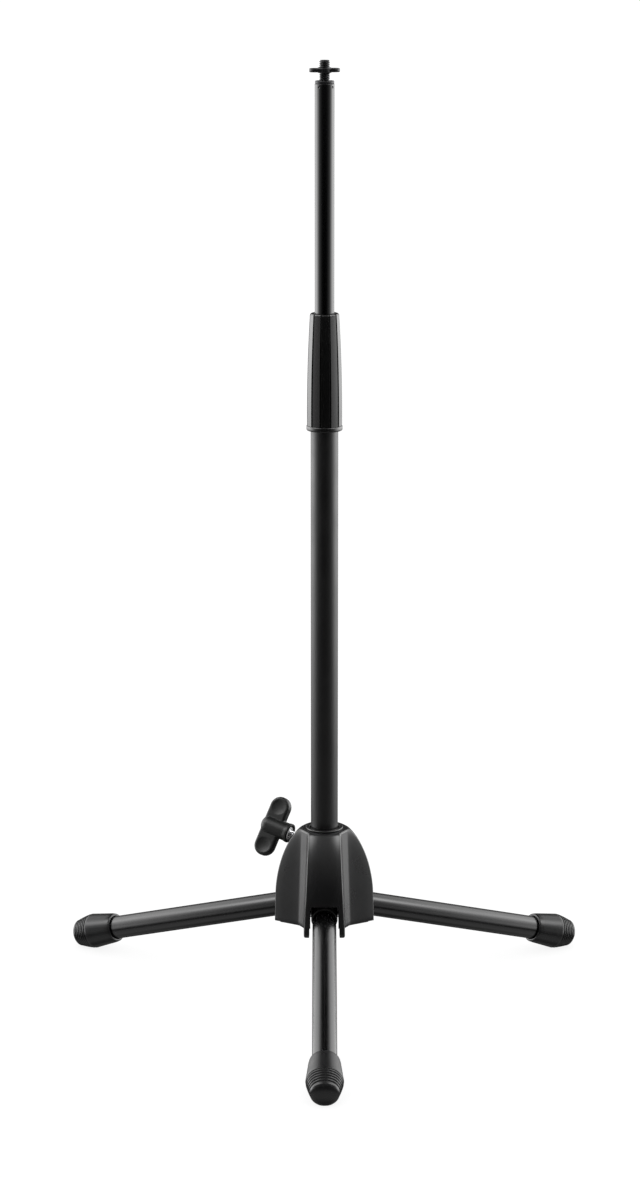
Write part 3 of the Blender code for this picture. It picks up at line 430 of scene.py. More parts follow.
# Every finish lightens its convex edges: part rubbed wear, part a painted highlight.
GLOSS_PAINT = finish("gloss_black_paint", (0.0012, 0.0012, 0.0013), (0.09, 0.13), (900, 90), 3e-6)
PAINT = finish("satin_black_paint", (0.0016, 0.0016, 0.0017), (0.37, 0.43), (1400, 110), 6e-6)
LEG_PAINT = finish("semi_gloss_black_paint", (0.0016, 0.0016, 0.0017), (0.19, 0.24), (1200, 100), 5e-6)
GRIP_GLOSS = finish("gloss_black_moulding", (0.003, 0.003, 0.003), (0.2, 0.26), (700, 60), 3e-6, coat=0.1)
BELL_SATIN = finish("satin_black_moulding", (0.0055, 0.0055, 0.0058), (0.27, 0.33), (3500, 300), 8e-6,
                    worn_and_lit=(0.05, 0.05, 0.05))
KNOB_SATIN = finish("fine_black_moulding", (0.0045, 0.0048, 0.0045), (0.40, 0.48), (3000, 260), 6e-6,
                    worn_and_lit=(0.03, 0.03, 0.03), ior=1.36)
NYLON = finish("black_nylon", (0.008, 0.008, 0.008), (0.28, 0.36), (2600, 220), 5e-6,
               worn_and_lit=(0.04, 0.04, 0.04))
RUBBER = finish("black_rubber", (0.0075, 0.0075, 0.0078), (0.27, 0.34), (1800, 160), 1.6e-5,
                worn_and_lit=(0.04, 0.04, 0.04), wear_and_highlight=0.25, ior=1.38)
ZINC = finish("zinc_plated_steel", (0.55, 0.55, 0.56), (0.2, 0.36), (2200, 400), 6e-6,
              worn_and_lit=(0.75, 0.75, 0.76), metallic=1.0)
BLACK_ZINC = finish("black_zinc_steel", (0.012, 0.012, 0.013), (0.26, 0.38), (2400, 300), 8e-6,
                    worn_and_lit=(0.09, 0.09, 0.09), wear_and_highlight=0.6, metallic=0.5)
DULL_ZINC = finish("dull_zinc_steel", (0.72, 0.72, 0.72), (0.38, 0.55), (2200, 500), 1.2e-5,
                   worn_and_lit=(0.8, 0.8, 0.8), metallic=0.3)
BRASS = finish("turned_brass", (0.6, 0.42, 0.17), (0.22, 0.34), (1800, 260), 5e-6,
               worn_and_lit=(0.75, 0.55, 0.25), metallic=1.0)
print("finishes:", len([m for m in bpy.data.materials if m.use_nodes]))


def dressed(piece, matrix, material, body, slot, *replaced):
    """Places a piece, gives it its material and body, and hides the solids it covers. The slot is not
    used.
    """
    onto(piece, matrix)
    piece.data.materials.clear()
    piece.data.materials.append(material)
    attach(piece, body)
    if replaced:
        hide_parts(*replaced)
    print(piece.name, "faces:", len(piece.data.polygons), "rides on", body)


# %% [markdown]
# ## The tubes of the mast
#
# A tube's reflections are straight lines, so it needs many sides and a
# small round on each end. The thin tube is punched in four places just
# under its top, which holds the stud's plug inside.

# %% Wide and thin tube
def tube(name, low, high, outer, wall, sides=128):
    """An open tube with rounded ends."""
    end = wall * 0.3
    return ring_piece(name, [
        (outer, high, end), (outer - wall, high, end), (outer - wall, low, end), (outer, low, end),
    ], sides)


wide_low, wide_high = span("lower_tube")
wide_tube = tube("wide_tube", wide_low, wide_high, WIDE_R, WIDE_WALL)
dressed(wide_tube, ON_MAST, PAINT, "lower_mast", "black_paint", "lower_tube")

thin_low, thin_high = span("upper_tube")
thin_tube = tube("thin_tube", thin_low, thin_high, THIN_R, THIN_WALL)
PUNCH_DROP, PUNCH_R, PUNCH_OUT = mm(2.8, 1.55, 0.9)
PUNCH_TURNS = (-35.5, 54.5, 144.5, 234.5)
for turn in PUNCH_TURNS:
    bpy.ops.mesh.primitive_uv_sphere_add(segments=24, ring_count=12, radius=PUNCH_R)
    punch = added("punch")
    angle = math.radians(turn - 90)
    out = THIN_R + PUNCH_OUT
    place = Vector((out * math.cos(angle), out * math.sin(angle), thin_high - PUNCH_DROP))
    cut(thin_tube, onto(punch, Matrix.Translation(place)))
close_piece(thin_tube, 30)
dressed(thin_tube, ON_MAST, GLOSS_PAINT, "upper_mast", "black_paint", "upper_tube")

# %% [markdown]
# ## The clutch grip
#
# Eleven narrow grooves run down the grip, with nearly flat lands between,
# and it swells downwards to a rounded lip. A circle's points are set close
# together at the grooves. It is extruded from level to level, and at each
# level its points are moved onto the fluted outline.

# %% Grip
FLUTES = 11
FLUTE_STEP = math.tau / FLUTES
FLUTE_TURN = math.radians(3.2) - math.pi / 2 + FLUTE_STEP / 2
FLUTE_HALF = math.radians(3.4)
FLUTE_DEPTH, FLUTE_LEAST, GRIP_SKIN = mm(1.7, 1.15, 0.6)
FLUTE_WALL = 0.45
LAND_FLAT = 0.75
GROOVE_TURNS = (0.0, 1.0, 1.7, 2.0, 2.3, 2.6, 2.9, 3.15, 3.4)
LAND_TURNS = (3.7, 4.6, 6.0, 8.2, 10.8, 13.5)
HALF_TURNS = [math.radians(turn) for turn in GROOVE_TURNS + LAND_TURNS]
FLUTE_TURNS = [-turn for turn in reversed(HALF_TURNS[1:])] + HALF_TURNS + [FLUTE_STEP / 2]
GRIP_TOP_R, GRIP_BELLY_R, GRIP_RIM_R = mm(13.1, 15.9, 16.3)
GRIP_BEND = 14 * MM
GRIP_RIM, GRIP_RIM_ROUND, GRIP_START, GRIP_STEPS = 4.4 * MM, 0.9 * MM, 4.6 * MM, 30
CROWN_DROP, CROWN_INSET = mm(1.7, 1.5)
THIN_AIR = 0.4 * MM
grip_low, grip_high = span("clutch_grip")
grip_length = grip_high - grip_low


def flute_share(angle, radius):
    """The outline's radius at an angle, as a share of the full radius."""
    from_groove = ((angle - FLUTE_TURN) / FLUTE_STEP + 0.5) % 1.0 - 0.5
    away = abs(from_groove) * FLUTE_STEP
    land_half = FLUTE_STEP / 2 - FLUTE_HALF
    flat = math.cos(land_half) / math.cos(FLUTE_STEP / 2 - max(away, FLUTE_HALF))
    land = 1 + (flat - 1) * LAND_FLAT
    down = min(max((FLUTE_HALF - away) / (FLUTE_HALF * FLUTE_WALL), 0.0), 1.0)
    depth = min(FLUTE_DEPTH, max(FLUTE_LEAST, radius - WIDE_R - GRIP_SKIN))
    return land - depth / radius * down * down * (3 - 2 * down)


def flute_ring(piece, radius, height, deep):
    """Moves each point of the selected ring onto the fluted outline."""
    shape = bmesh.from_edit_mesh(piece.data)
    for point in shape.verts:
        if point.select:
            angle = math.atan2(point.co.y, point.co.x)
            out = radius * (1 + (flute_share(angle, radius) - 1) * deep)
            point.co = (out * math.cos(angle), out * math.sin(angle), height)
    bmesh.update_edit_mesh(piece.data)


def grip_radius(height):
    """The grip narrows upwards, faster near its top."""
    rise = max((height - GRIP_BEND) / (grip_length - GRIP_BEND), 0.0)
    return GRIP_BELLY_R - (GRIP_BELLY_R - GRIP_TOP_R) * rise ** 2


grip_levels = [(radius, height, 0.0) for radius, height in rounded([
    (WIDE_R + 0.5 * MM, 0, 0), (GRIP_RIM_R, 0, GRIP_RIM_ROUND),
    (GRIP_RIM_R, GRIP_RIM, GRIP_RIM_ROUND), (GRIP_BELLY_R - 0.5 * MM, GRIP_RIM, 0),
])]
for i in range(GRIP_STEPS + 1):
    height = GRIP_START + (grip_length - CROWN_DROP - GRIP_START) * i / GRIP_STEPS
    grip_levels.append((grip_radius(height), height, 1.0))
for share in (0.3, 0.6, 0.85, 1.0):
    height = grip_length - CROWN_DROP * (1 - share)
    inset = CROWN_INSET * (1 - math.sqrt(1 - share * share))
    grip_levels.append((grip_radius(height) - inset, height, 1 - share ** 2))
for radius, height in (
    (THIN_R + 0.75 * MM, grip_length), (THIN_R + THIN_AIR, grip_length - 0.4 * MM),
    (THIN_R + THIN_AIR, grip_length - 8 * MM), (WIDE_R + SLIDE, grip_length - 12 * MM),
    (WIDE_R + SLIDE, 0.4 * MM),
):
    grip_levels.append((radius, height, 0.0))
first_r = grip_levels[0][0]
turns = [FLUTE_TURN + FLUTE_STEP * flute + turn for flute in range(FLUTES) for turn in FLUTE_TURNS]
bpy.ops.mesh.primitive_circle_add(vertices=len(turns), radius=first_r)
grip = added("twist_grip")
open_piece(grip, "SELECT")
place_points(grip, [(first_r * math.cos(turn), first_r * math.sin(turn), 0) for turn in turns])
for radius, height, deep in grip_levels[1:] + grip_levels[:1]:
    bpy.ops.mesh.extrude_edges_move(TRANSFORM_OT_translate={"value": (0, 0, 0)})
    flute_ring(grip, radius, height, deep)
close_piece(grip, 40)
GRIP_PLACE = Matrix.Translation(MAST + Vector((0, 0, grip_low)))
dressed(grip, GRIP_PLACE, GRIP_GLOSS, "clutch_grip", "grip_plastic", "clutch_grip")

# %% [markdown]
# ## The stud, its plug and the winged nut
#
# The stud on top is a real helix here. One V of the thread is turned round
# and up with a Screw modifier, and the ends are sliced flat and filled. The
# nut is a flat plate with two round wings.

# %% A threaded bar
# One turn of a thread, as (share of its depth cut away, share of its pitch).
THREAD = ((1, 0.0), (1, 0.12), (0.12, 0.42), (0, 0.5), (0, 0.58), (0.12, 0.66), (1, 0.96), (1, 1.0))


def threaded(name, radius, depth, pitch, low, high, sides=40):
    """A round bar with a helical thread, sliced flat at both ends."""
    bpy.ops.mesh.primitive_plane_add(size=1)
    piece = added(name)
    open_piece(piece)
    pick(piece, "VERT", lambda point: point.co.x > 0 or point.co.y < 0)
    bpy.ops.mesh.delete(type="VERT")
    outline = [(radius - sunk * depth, height) for sunk, height in THREAD]
    shape = bmesh.from_edit_mesh(piece.data)
    shape.verts.ensure_lookup_table()
    shape.verts[0].co = (outline[0][0], 0, low - 2 * pitch)
    shape.verts[0].select = True
    bmesh.update_edit_mesh(piece.data)
    for (r0, h0), (r1, h1) in zip(outline, outline[1:]):
        bpy.ops.mesh.extrude_vertices_move(
            TRANSFORM_OT_translate={"value": (r1 - r0, 0, (h1 - h0) * pitch)}
        )
    bpy.ops.object.mode_set(mode="OBJECT")
    modified(
        piece, "SCREW", axis="Z", angle=math.tau, screw_offset=pitch, steps=sides,
        render_steps=sides, iterations=int((high - low) / pitch) + 4,
        use_merge_vertices=True, merge_threshold=1e-6,
    )
    for height, outer in ((low, False), (high, True)):
        open_piece(piece, "SELECT")
        bpy.ops.mesh.bisect(
            plane_co=(0, 0, height), plane_no=(0, 0, 1), use_fill=True,
            clear_inner=not outer, clear_outer=outer, threshold=1e-6,
        )
    return close_piece(piece, 50)


STUD_R, STUD_GROOVE, STUD_PITCH = mm(4.7625, 0.9, 1.5875)
CONE_R = STUD_R + 2.9 * MM
flange_top, stud_top = span("stud_plug")[1], span("thread_stud")[1]
cone_low = flange_top - 9 * MM
stud = threaded("threaded_stud", STUD_R, STUD_GROOVE, STUD_PITCH, flange_top - 4 * MM, stud_top)
cut(stud, lathe("cone", [
    (STUD_R - 1.1 * MM, stud_top + 0.01 * MM), (CONE_R, stud_top - 4 * MM),
    (CONE_R, cone_low), (1 * MM, cone_low),
], 40), "INTERSECT")
close_piece(stud, 50)
dressed(stud, ON_MAST, BLACK_ZINC, "upper_mast", "black_steel", "thread_stud")

# %% Plug and nut
PLUG_R, FLANGE_R = THIN_R - THIN_WALL - SEAT, THIN_R - 0.2 * MM
PLUG_BORE, PLUG_MOUTH = STUD_R - 1.2 * MM, STUD_R + 0.1 * MM
plug_low, mouth_low = flange_top - 12 * MM, flange_top - 3.5 * MM
plug = lathe("stud_flange", rounded([
    (PLUG_BORE, plug_low, 0), (PLUG_R, plug_low, 0.4 * MM), (PLUG_R, thin_high + SEAT, 0),
    (FLANGE_R, thin_high + SEAT, 0.25 * MM), (FLANGE_R, flange_top, 0.7 * MM),
    (PLUG_MOUTH, flange_top, 0.15 * MM), (PLUG_MOUTH, mouth_low, 0), (PLUG_BORE, mouth_low, 0),
]), 96, ring=True)
dressed(plug, ON_MAST, BLACK_ZINC, "upper_mast", "black_steel", "stud_plug")

NUT_TURN = math.radians(8)
NUT_R, NUT_ROUND = mm(6.3, 0.6)
WING_END, WING_HALF = mm(13.7, 5.2)
nut_low, nut_high = span("locknut")
boss = lathe("winged_nut", rounded([
    (1 * MM, nut_low, 0), (NUT_R, nut_low, NUT_ROUND), (NUT_R, nut_high, NUT_ROUND),
    (1 * MM, nut_high, 0),
]), 64)
wing_outline = arc((WING_END - WING_HALF, 0), WING_HALF, -90, 90, 20)
wing_outline += arc((WING_HALF - WING_END, 0), WING_HALF, 90, 270, 20)
plate = slab("plate", wing_outline, nut_low + 0.6 * MM, nut_high - 0.6 * MM)
soften_slab(plate, 0.9 * MM, 4)
cut(boss, plate, "UNION")
cut(boss, bar("hole", STUD_R + 0.3 * MM, nut_low - 5 * MM, nut_high + 5 * MM, 64))
close_piece(boss, 30)
NUT_PLACE = ON_MAST @ Matrix.Rotation(NUT_TURN, 4, "Z")
dressed(boss, NUT_PLACE, BLACK_ZINC, "locknut", "black_steel", "locknut")

# %% [markdown]
# ## The bell
#
# The bell is one moulding with three lobes, one over each leg. An end face
# is flat low down, curves in like a dome and bulges a little at the rim.
# A circle is extruded level by level, and after each step its points are
# moved onto the bell's outline at that height.

# %% The bell's outline
BELL_R, BELL_LOW, BELL_TOP = mm(43.1, -17.6, 75.4)
BELL_SHOULDER, BELL_DOME, BELL_POWER = 11 * MM, 72 * MM, 1.8
BELL_RIM, BELL_STEPS = 1.6 * MM, 36
RIDGE = 1.25 * MM
# Sizes of a lobe in millimetres, at the bell's lower end and at its top.
LOBE_HALF, LOBE_CROWN = (19.1, 14.7), (1.0, 3.4)
ROOT_HALF, ROOT_OUT = (19.3, 15.8), (16.6, 15.3)
CROWN_POWER = 2.5
POST_SLANT = Vector((math.cos(math.pi / 3), -math.sin(math.pi / 3)))
BELL = Matrix.Translation(MAST + Vector((0, 0, HINGE_Z)))


def between(low, high, share):
    """The value at a share of the way from low to high."""
    return low + (high - low) * share


def bell_out(height):
    """How far an end face's ridges stand from the mast's axis at a height."""
    share = max((height - BELL_SHOULDER) / BELL_DOME, 0.0)
    return BELL_R * math.sqrt(1.0 - share ** BELL_POWER)


def lobe_outline(height):
    """Half of a lobe's outline as (across, out), from the post to its middle."""
    share = (height - BELL_LOW) / (BELL_TOP - BELL_LOW)
    half = between(*LOBE_HALF, share) * MM
    crown = between(*LOBE_CROWN, max(share, 0)) * MM
    root_half = between(*ROOT_HALF, share) * MM
    root_out = between(*ROOT_OUT, share) * MM
    out = bell_out(height)
    points = []
    for away in (4.0 * MM, 2.2 * MM, 0.9 * MM):
        points.append((root_half + away * POST_SLANT.x, root_out + away * POST_SLANT.y))
    points.append((root_half + 0.12 * MM, root_out + 0.12 * MM))
    for k in (0.06, 0.33, 0.67):
        points.append((between(root_half, half, k), between(root_out, out - RIDGE, k)))
    for angle in range(0, 91, 15):
        turn = math.radians(angle)
        points.append((half - RIDGE * (1 - math.cos(turn)), out - RIDGE * (1 - math.sin(turn))))
    flat = half - RIDGE
    for k in (0.94, 0.86, 0.76, 0.64, 0.5, 0.34, 0.15):
        points.append((flat * k, out + crown * (1 - k ** CROWN_POWER)))
    return points


def bell_outline(height, inset=0.0):
    """All three lobes' points at a height, in order round the mast."""
    half = lobe_outline(height)
    lobe = [(-across, out) for across, out in half] + half[::-1]
    points = []
    for azimuth in LEG_AZIMUTHS.values():
        turn = Matrix.Rotation(math.radians(azimuth), 3, "Z")
        for across, out in lobe:
            point = Vector((out, across, 0))
            point *= 1 - inset / point.length
            points.append(turn @ point + Vector((0, 0, height)))
    return points


def bell_levels():
    """(height, inset) of each ring, close together where the surface curves."""
    foot_round = ((0, 1.0), (0.12, 0.5), (0.45, 0.16), (1.0, 0.0))
    levels = [(BELL_LOW + rise * MM, inset * MM) for rise, inset in foot_round]
    levels += [(between(BELL_LOW + 1 * MM, BELL_SHOULDER, k / 8), 0.0) for k in range(1, 9)]
    dome = BELL_TOP - BELL_RIM - BELL_SHOULDER
    for k in range(1, BELL_STEPS + 1):
        levels.append((BELL_SHOULDER + dome * math.sin(math.pi / 2 * k / BELL_STEPS), 0.0))
    for k in (20, 40, 60, 75, 90):
        turn = math.radians(k)
        levels.append((BELL_TOP - BELL_RIM * (1 - math.sin(turn)), BELL_RIM * (1 - math.cos(turn))))
    return levels


def ring_points(piece, points):
    """Moves the selected ring, in its order round the axis, onto new points."""
    shape = bmesh.from_edit_mesh(piece.data)
    chosen = [point for point in shape.verts if point.select]
    start = math.atan2(points[0].y, points[0].x)
    chosen.sort(key=lambda point: (math.atan2(point.co.y, point.co.x) - start + 1e-4) % math.tau)
    for point, place in zip(chosen, points):
        point.co = place
    bmesh.update_edit_mesh(piece.data)


first = bell_outline(*bell_levels()[0])
bpy.ops.mesh.primitive_circle_add(vertices=len(first), radius=BELL_R, fill_type="NGON")
bell = added("bell")
open_piece(bell, "SELECT")
place_points(bell, first)
for height, inset in bell_levels()[1:]:
    bpy.ops.mesh.extrude_region_move(TRANSFORM_OT_translate={"value": (0, 0, 0)})
    ring_points(bell, bell_outline(height, inset))
close_piece(bell)
print("bell shell:", len(bell.data.vertices), "points")

# %% [markdown]
# The slots are cut next. Each is a little wider below a step, and its
# mouth in the end face has sides that lean outwards, so that two prongs
# with round ends hang beside the leg. Above the slot the lobe is hollow up
# to the clamp screw, and a rib inside stops the leg when it is open.

# %% Cut the bell
OVER = 10 * MM
SLOT_HALF, SLOT_ROOF, SLOT_STEP_Z, SLOT_ROUND = mm(13, 12.7, -10.4, 1.2)
PRONG_IN, PRONG_OUT, PRONG_MOUTH = mm(14, 19.1, 13.1)
HOLLOW_TOP, POCKET_TOP = mm(46, 21)
LEG_COLLAR_R = HINGE_OUT - WIDE_R - RING_AIR - 0.4 * MM
BORE_R, TOP_BORE_R, BORE_STEP_Z, TOP_STEP_Z = 16.3 * MM, 15.5 * MM, 25 * MM, BELL_TOP - 6.5 * MM
INSERT_R, SCREW_HOLE_R, INSERT_END = mm(6.5, 3.5, 26.5)
CLAMP_HEIGHT = 55.7 * MM
CLAMP_RISE = math.radians(12.4)
CLAMP_AZIMUTH = math.radians(LEG_AZIMUTHS["left"])
CLAMP = (
    BELL
    @ Matrix.Translation((0, 0, CLAMP_HEIGHT))
    @ Matrix.Rotation(CLAMP_AZIMUTH, 4, "Z")
    @ Matrix.Rotation(math.pi / 2 - CLAMP_RISE, 4, "Y")
)


def facing(azimuth):
    """X runs across a leg, Y is up and Z runs out along it."""
    return Matrix.Rotation(math.radians(azimuth + 90), 4, "Z") @ Matrix.Rotation(math.pi / 2, 4, "X")


def along(azimuth):
    """X runs out along a leg, Y is up and Z is level across it."""
    return Matrix.Rotation(math.radians(azimuth), 4, "Z") @ Matrix.Rotation(math.pi / 2, 4, "X")


def mirrored(half):
    """An outline from its right half."""
    return half + [(-x, y) for x, y in reversed(half)]


def slot_tool(azimuth):
    """The leg's slot, wider below its step."""
    low, wide = BELL_LOW - OVER, SLOT_HALF + 0.9 * MM
    half = [(wide, low), (wide, SLOT_STEP_Z - 0.3 * MM), (SLOT_HALF + 0.6 * MM, SLOT_STEP_Z),
            (SLOT_HALF, SLOT_STEP_Z)]
    half += arc((SLOT_HALF - SLOT_ROUND, SLOT_ROOF - SLOT_ROUND), SLOT_ROUND, 0, 90, 6)
    return slab("slot", mirrored(half), 0, BELL_R + OVER, facing(azimuth))


def mouth_tool(azimuth):
    """The slot's mouth in the end face, between the prongs."""
    half = [(PRONG_IN, BELL_LOW - OVER), (PRONG_IN, -7 * MM), (PRONG_MOUTH, SLOT_ROOF)]
    return slab("mouth", mirrored(half), BELL_R - 5.5 * MM, BELL_R + OVER, facing(azimuth))


def prong_tools(azimuth):
    """Cutters that round the two lower corners of each prong."""
    made = []
    for edge, size, inward in ((PRONG_OUT, 2.1 * MM, -1), (PRONG_IN, 1.2 * MM, 1)):
        centre = (edge + inward * size, BELL_LOW + size)
        far = (edge - inward * 3 * MM, BELL_LOW - 3 * MM)
        curve = arc(centre, size, 270, 360 if inward < 0 else 180, 8)
        outline = curve + [(far[0], centre[1]), far, (centre[0], far[1])]
        for side in (-1, 1):
            corners = [(side * x, y) for x, y in outline]
            made.append(slab("prong", corners, BELL_R - 6.5 * MM, BELL_R + OVER, facing(azimuth)))
    return made


def wedge(name, azimuth, corner):
    """A cube whose corners go where a rule puts them, turned towards an azimuth."""
    bpy.ops.mesh.primitive_cube_add(size=1)
    tool = added(name)
    open_piece(tool)
    shape = bmesh.from_edit_mesh(tool.data)
    for point in shape.verts:
        out, half, height = corner(point.co.x > 0, point.co.z > 0)
        point.co = (out, math.copysign(half, point.co.y), height)
    bmesh.update_edit_mesh(tool.data)
    bpy.ops.object.mode_set(mode="OBJECT")
    return onto(tool, Matrix.Rotation(math.radians(azimuth), 4, "Z"))


def hollow_corner(outer, upper):
    """A corner (out, half width, height) of the space over a slot."""
    height = HOLLOW_TOP if upper else SLOT_ROOF - 1 * MM
    half = (11.2 if upper else 12) * MM
    return bell_out(height) - 3.2 * MM if outer else 19 * MM, half, height


def pocket_corner(outer, upper):
    """A corner of the hollow in a post between two lobes, open downwards."""
    height = POCKET_TOP if upper else -19 * MM
    if not outer:
        return 18.8 * MM, 0.8 * MM, height
    return (21.2 * MM, 3.5 * MM, height) if upper else (23.7 * MM, 7.5 * MM, height)


def rib_tool(azimuth):
    """The stop that an open leg's hinge plug lies against."""
    top = (LEG_COLLAR_R + SEAT) / math.cos(LEG_SLOPE)
    near, far, roof, half = 2 * MM, 5.5 * MM, HOLLOW_TOP + 0.5 * MM, SLOT_HALF + 0.5 * MM
    outline = [(HINGE_OUT + near, top - near * math.tan(LEG_SLOPE)),
               (HINGE_OUT + far, top - far * math.tan(LEG_SLOPE)),
               (HINGE_OUT + far, roof), (HINGE_OUT + near, roof)]
    return slab("rib", outline, -half, half, along(azimuth))


def pin_tool(azimuth):
    """A seat for each end of a hinge pin, open downwards."""
    size, half = mm(3.3, 16.6)
    outline = arc((HINGE_OUT, 0), size, 0, 180, 16)
    outline += [(HINGE_OUT - size, BELL_LOW - OVER), (HINGE_OUT + size, BELL_LOW - OVER)]
    return slab("pin_seat", outline, -half, half, along(azimuth))


# Room for the wide tube, the two bushes and the tube's cap, and for the screw and its insert.
bore_tool = lathe("bore", [
    (BORE_R, BELL_LOW - OVER), (BORE_R, BORE_STEP_Z), (WIDE_R + RING_AIR, BORE_STEP_Z),
    (WIDE_R + RING_AIR, TOP_STEP_Z), (TOP_BORE_R, TOP_STEP_Z), (TOP_BORE_R, BELL_TOP + OVER),
], 72)
screw_tool = lathe("screw_hole", [
    (INSERT_R, 0), (INSERT_R, INSERT_END), (SCREW_HOLE_R, INSERT_END), (SCREW_HOLE_R, 50 * MM),
], 48)
onto(screw_tool, BELL.inverted() @ CLAMP)
azimuths = list(LEG_AZIMUTHS.values())
tools = [make(azimuth) for make in (slot_tool, mouth_tool) for azimuth in azimuths]
tools += [tool for azimuth in azimuths for tool in prong_tools(azimuth)]
tools += [wedge("hollow", azimuth, hollow_corner) for azimuth in azimuths]
tools += [wedge("pocket", azimuth + 60, pocket_corner) for azimuth in azimuths]
for tool in tools:
    cut(bell, tool, solver="MANIFOLD")
for azimuth in azimuths:
    cut(bell, rib_tool(azimuth), "UNION", solver="MANIFOLD")
for tool in [pin_tool(azimuth) for azimuth in azimuths] + [bore_tool, screw_tool]:
    cut(bell, tool, solver="MANIFOLD")
close_piece(bell, 32)
dressed(bell, BELL, BELL_SATIN, "tripod_base", "bell_plastic", "base_housing")

# %% [markdown]
# A ring of nylon lines the bell's top. Its lip lies on the rim, and the tube
# passes through it with a little air round it. A second ring guides the tube
# lower in the bell, and a cap closes the tube's lower end.

# %% Bushes and tube cap
RING_BORE, RING_R, RING_LIP_R = WIDE_R + RING_AIR, 15.2 * MM, 17.3 * MM
ring_low, ring_high = span("base_top_bush")
rim_z = HINGE_Z + BELL_TOP + SEAT
top_ring = ring_piece("bell_top_ring", [
    (RING_BORE, ring_low, 0.3 * MM), (RING_R, ring_low, 0.3 * MM), (RING_R, rim_z, 0),
    (RING_LIP_R, rim_z, 0.2 * MM), (RING_LIP_R, ring_high, 0.7 * MM),
    (RING_BORE, ring_high, 0.6 * MM),
], 128)
dressed(top_ring, ON_MAST, NYLON, "base_guides", "nylon", "base_top_bush")

LOWER_BORE, LOWER_R = WIDE_R + SLIDE, 16 * MM
lower_low, lower_high = span("base_lower_bush")
low_ring = ring_piece("bell_lower_ring", [
    (LOWER_BORE, lower_low, 0.4 * MM), (LOWER_R, lower_low, 0.5 * MM),
    (LOWER_R, lower_high, 0.5 * MM), (LOWER_BORE, lower_high, 0.4 * MM),
], 96)
dressed(low_ring, ON_MAST, NYLON, "base_guides", "nylon", "base_lower_bush")

CAP_LIP_R, CAP_DENT_R, CAP_DENT = mm(13.4, 6.5, 0.3)
PLUG_IN_R = WIDE_R - WIDE_WALL - SEAT
cap_low, cap_high = span("tube_end_cap")
cap_face = wide_low - SEAT
cap = lathe("tube_cap", rounded([
    (0.3 * MM, cap_low + CAP_DENT, 0), (CAP_DENT_R - 0.5 * MM, cap_low + CAP_DENT, 0),
    (CAP_DENT_R, cap_low, 0), (CAP_LIP_R, cap_low, 0.7 * MM), (CAP_LIP_R, cap_face, 0.2 * MM),
    (PLUG_IN_R, cap_face, 0), (PLUG_IN_R, cap_high, 0.8 * MM), (1 * MM, cap_high, 0),
]), 96)
dressed(cap, ON_MAST, RUBBER, "lower_mast", "rubber", "tube_end_cap")

# %% [markdown]
# ## The winged clamp screw
#
# A round hub with a domed end and two thick wings with a shallow dish in
# each face are joined, remeshed finely and smoothed, which rounds every
# edge and fills the corners as a mould does.

# %% Knob
KNOB_START, KNOB_LENGTH, KNOB_DOME = mm(37.7, 31.1, 7.5)
KNOB_R, KNOB_RIM_R = mm(8.6, 9.2)
WING_MIDDLE, WING_OUT, WING_R = KNOB_START + 19.3 * MM, 19 * MM, 9.9 * MM
WING_THICK, WING_ROUND, WING_DISH, DISH_R = mm(8.8, 2.2, 1.0, 28)
WING_TURN = math.radians(25.7)
COLLAR_R, RECESS_DEPTH = mm(6.2, 3.7)
SHANK_END = KNOB_START + 19 * MM
SIDEWAYS = Matrix(((0, 1, 0, 0), (0, 0, 1, 0), (1, 0, 0, 0), (0, 0, 0, 1)))

knob_end = KNOB_START + KNOB_LENGTH
knob_levels = rounded([
    (1 * MM, KNOB_START, 0), (KNOB_RIM_R, KNOB_START, 0.5 * MM),
    (KNOB_RIM_R, KNOB_START + 1.8 * MM, 0.8 * MM), (KNOB_R, KNOB_START + 4.5 * MM, 2 * MM),
    (KNOB_R, KNOB_START + 12 * MM, 0),
])
for k in range(9):
    turn = math.radians(10 * k)
    knob_levels.append((KNOB_R * math.cos(turn), knob_end - KNOB_DOME * (1 - math.sin(turn))))
knob_levels.append((0.3 * MM, knob_end))
knob = lathe("wing_knob_moulding", knob_levels, 64)

wing_shape = arc((WING_MIDDLE, WING_OUT), WING_R, 0, 180, 32)
wing_shape += arc((WING_MIDDLE, -WING_OUT), WING_R, 180, 360, 32)
wings = slab("wings", wing_shape, -WING_THICK / 2, WING_THICK / 2)
soften_slab(wings, WING_ROUND, 5)
onto(wings, SIDEWAYS)
dish_away = WING_THICK / 2 + DISH_R - WING_DISH
for side in (-1, 1):
    for face in (-1, 1):
        middle = (side * WING_OUT, face * dish_away, WING_MIDDLE)
        bpy.ops.mesh.primitive_uv_sphere_add(
            segments=128, ring_count=96, radius=DISH_R, location=middle
        )
        cut(wings, added("dish"))
cut(knob, wings, "UNION")
modified(knob, "REMESH", mode="VOXEL", voxel_size=0.3 * MM)
modified(knob, "SMOOTH", factor=0.5, iterations=8)
mouth_r, recess_r, recess_end = COLLAR_R + 1.1 * MM, COLLAR_R + 0.3 * MM, KNOB_START + RECESS_DEPTH
cut(knob, lathe("recess", rounded([
    (1 * MM, KNOB_START - OVER, 0), (mouth_r, KNOB_START - OVER, 0),
    (mouth_r, KNOB_START + 0.2 * MM, 0), (recess_r, KNOB_START + 1.4 * MM, 0),
    (recess_r, recess_end, 0), (1 * MM, recess_end, 0),
]), 64))
cut(knob, bar("shank_hole", 3.3 * MM, KNOB_START - OVER, SHANK_END, 48))
close_piece(knob, 45)
KNOB_PLACE = CLAMP @ Matrix.Rotation(WING_TURN, 4, "Z")
dressed(knob, KNOB_PLACE, KNOB_SATIN, "clamp_screw", "knob_plastic", "wing_knob")

# %% [markdown]
# The screw is an M6 with a real helix, and a bright steel washer sits in the
# recess of the knob's inner end.

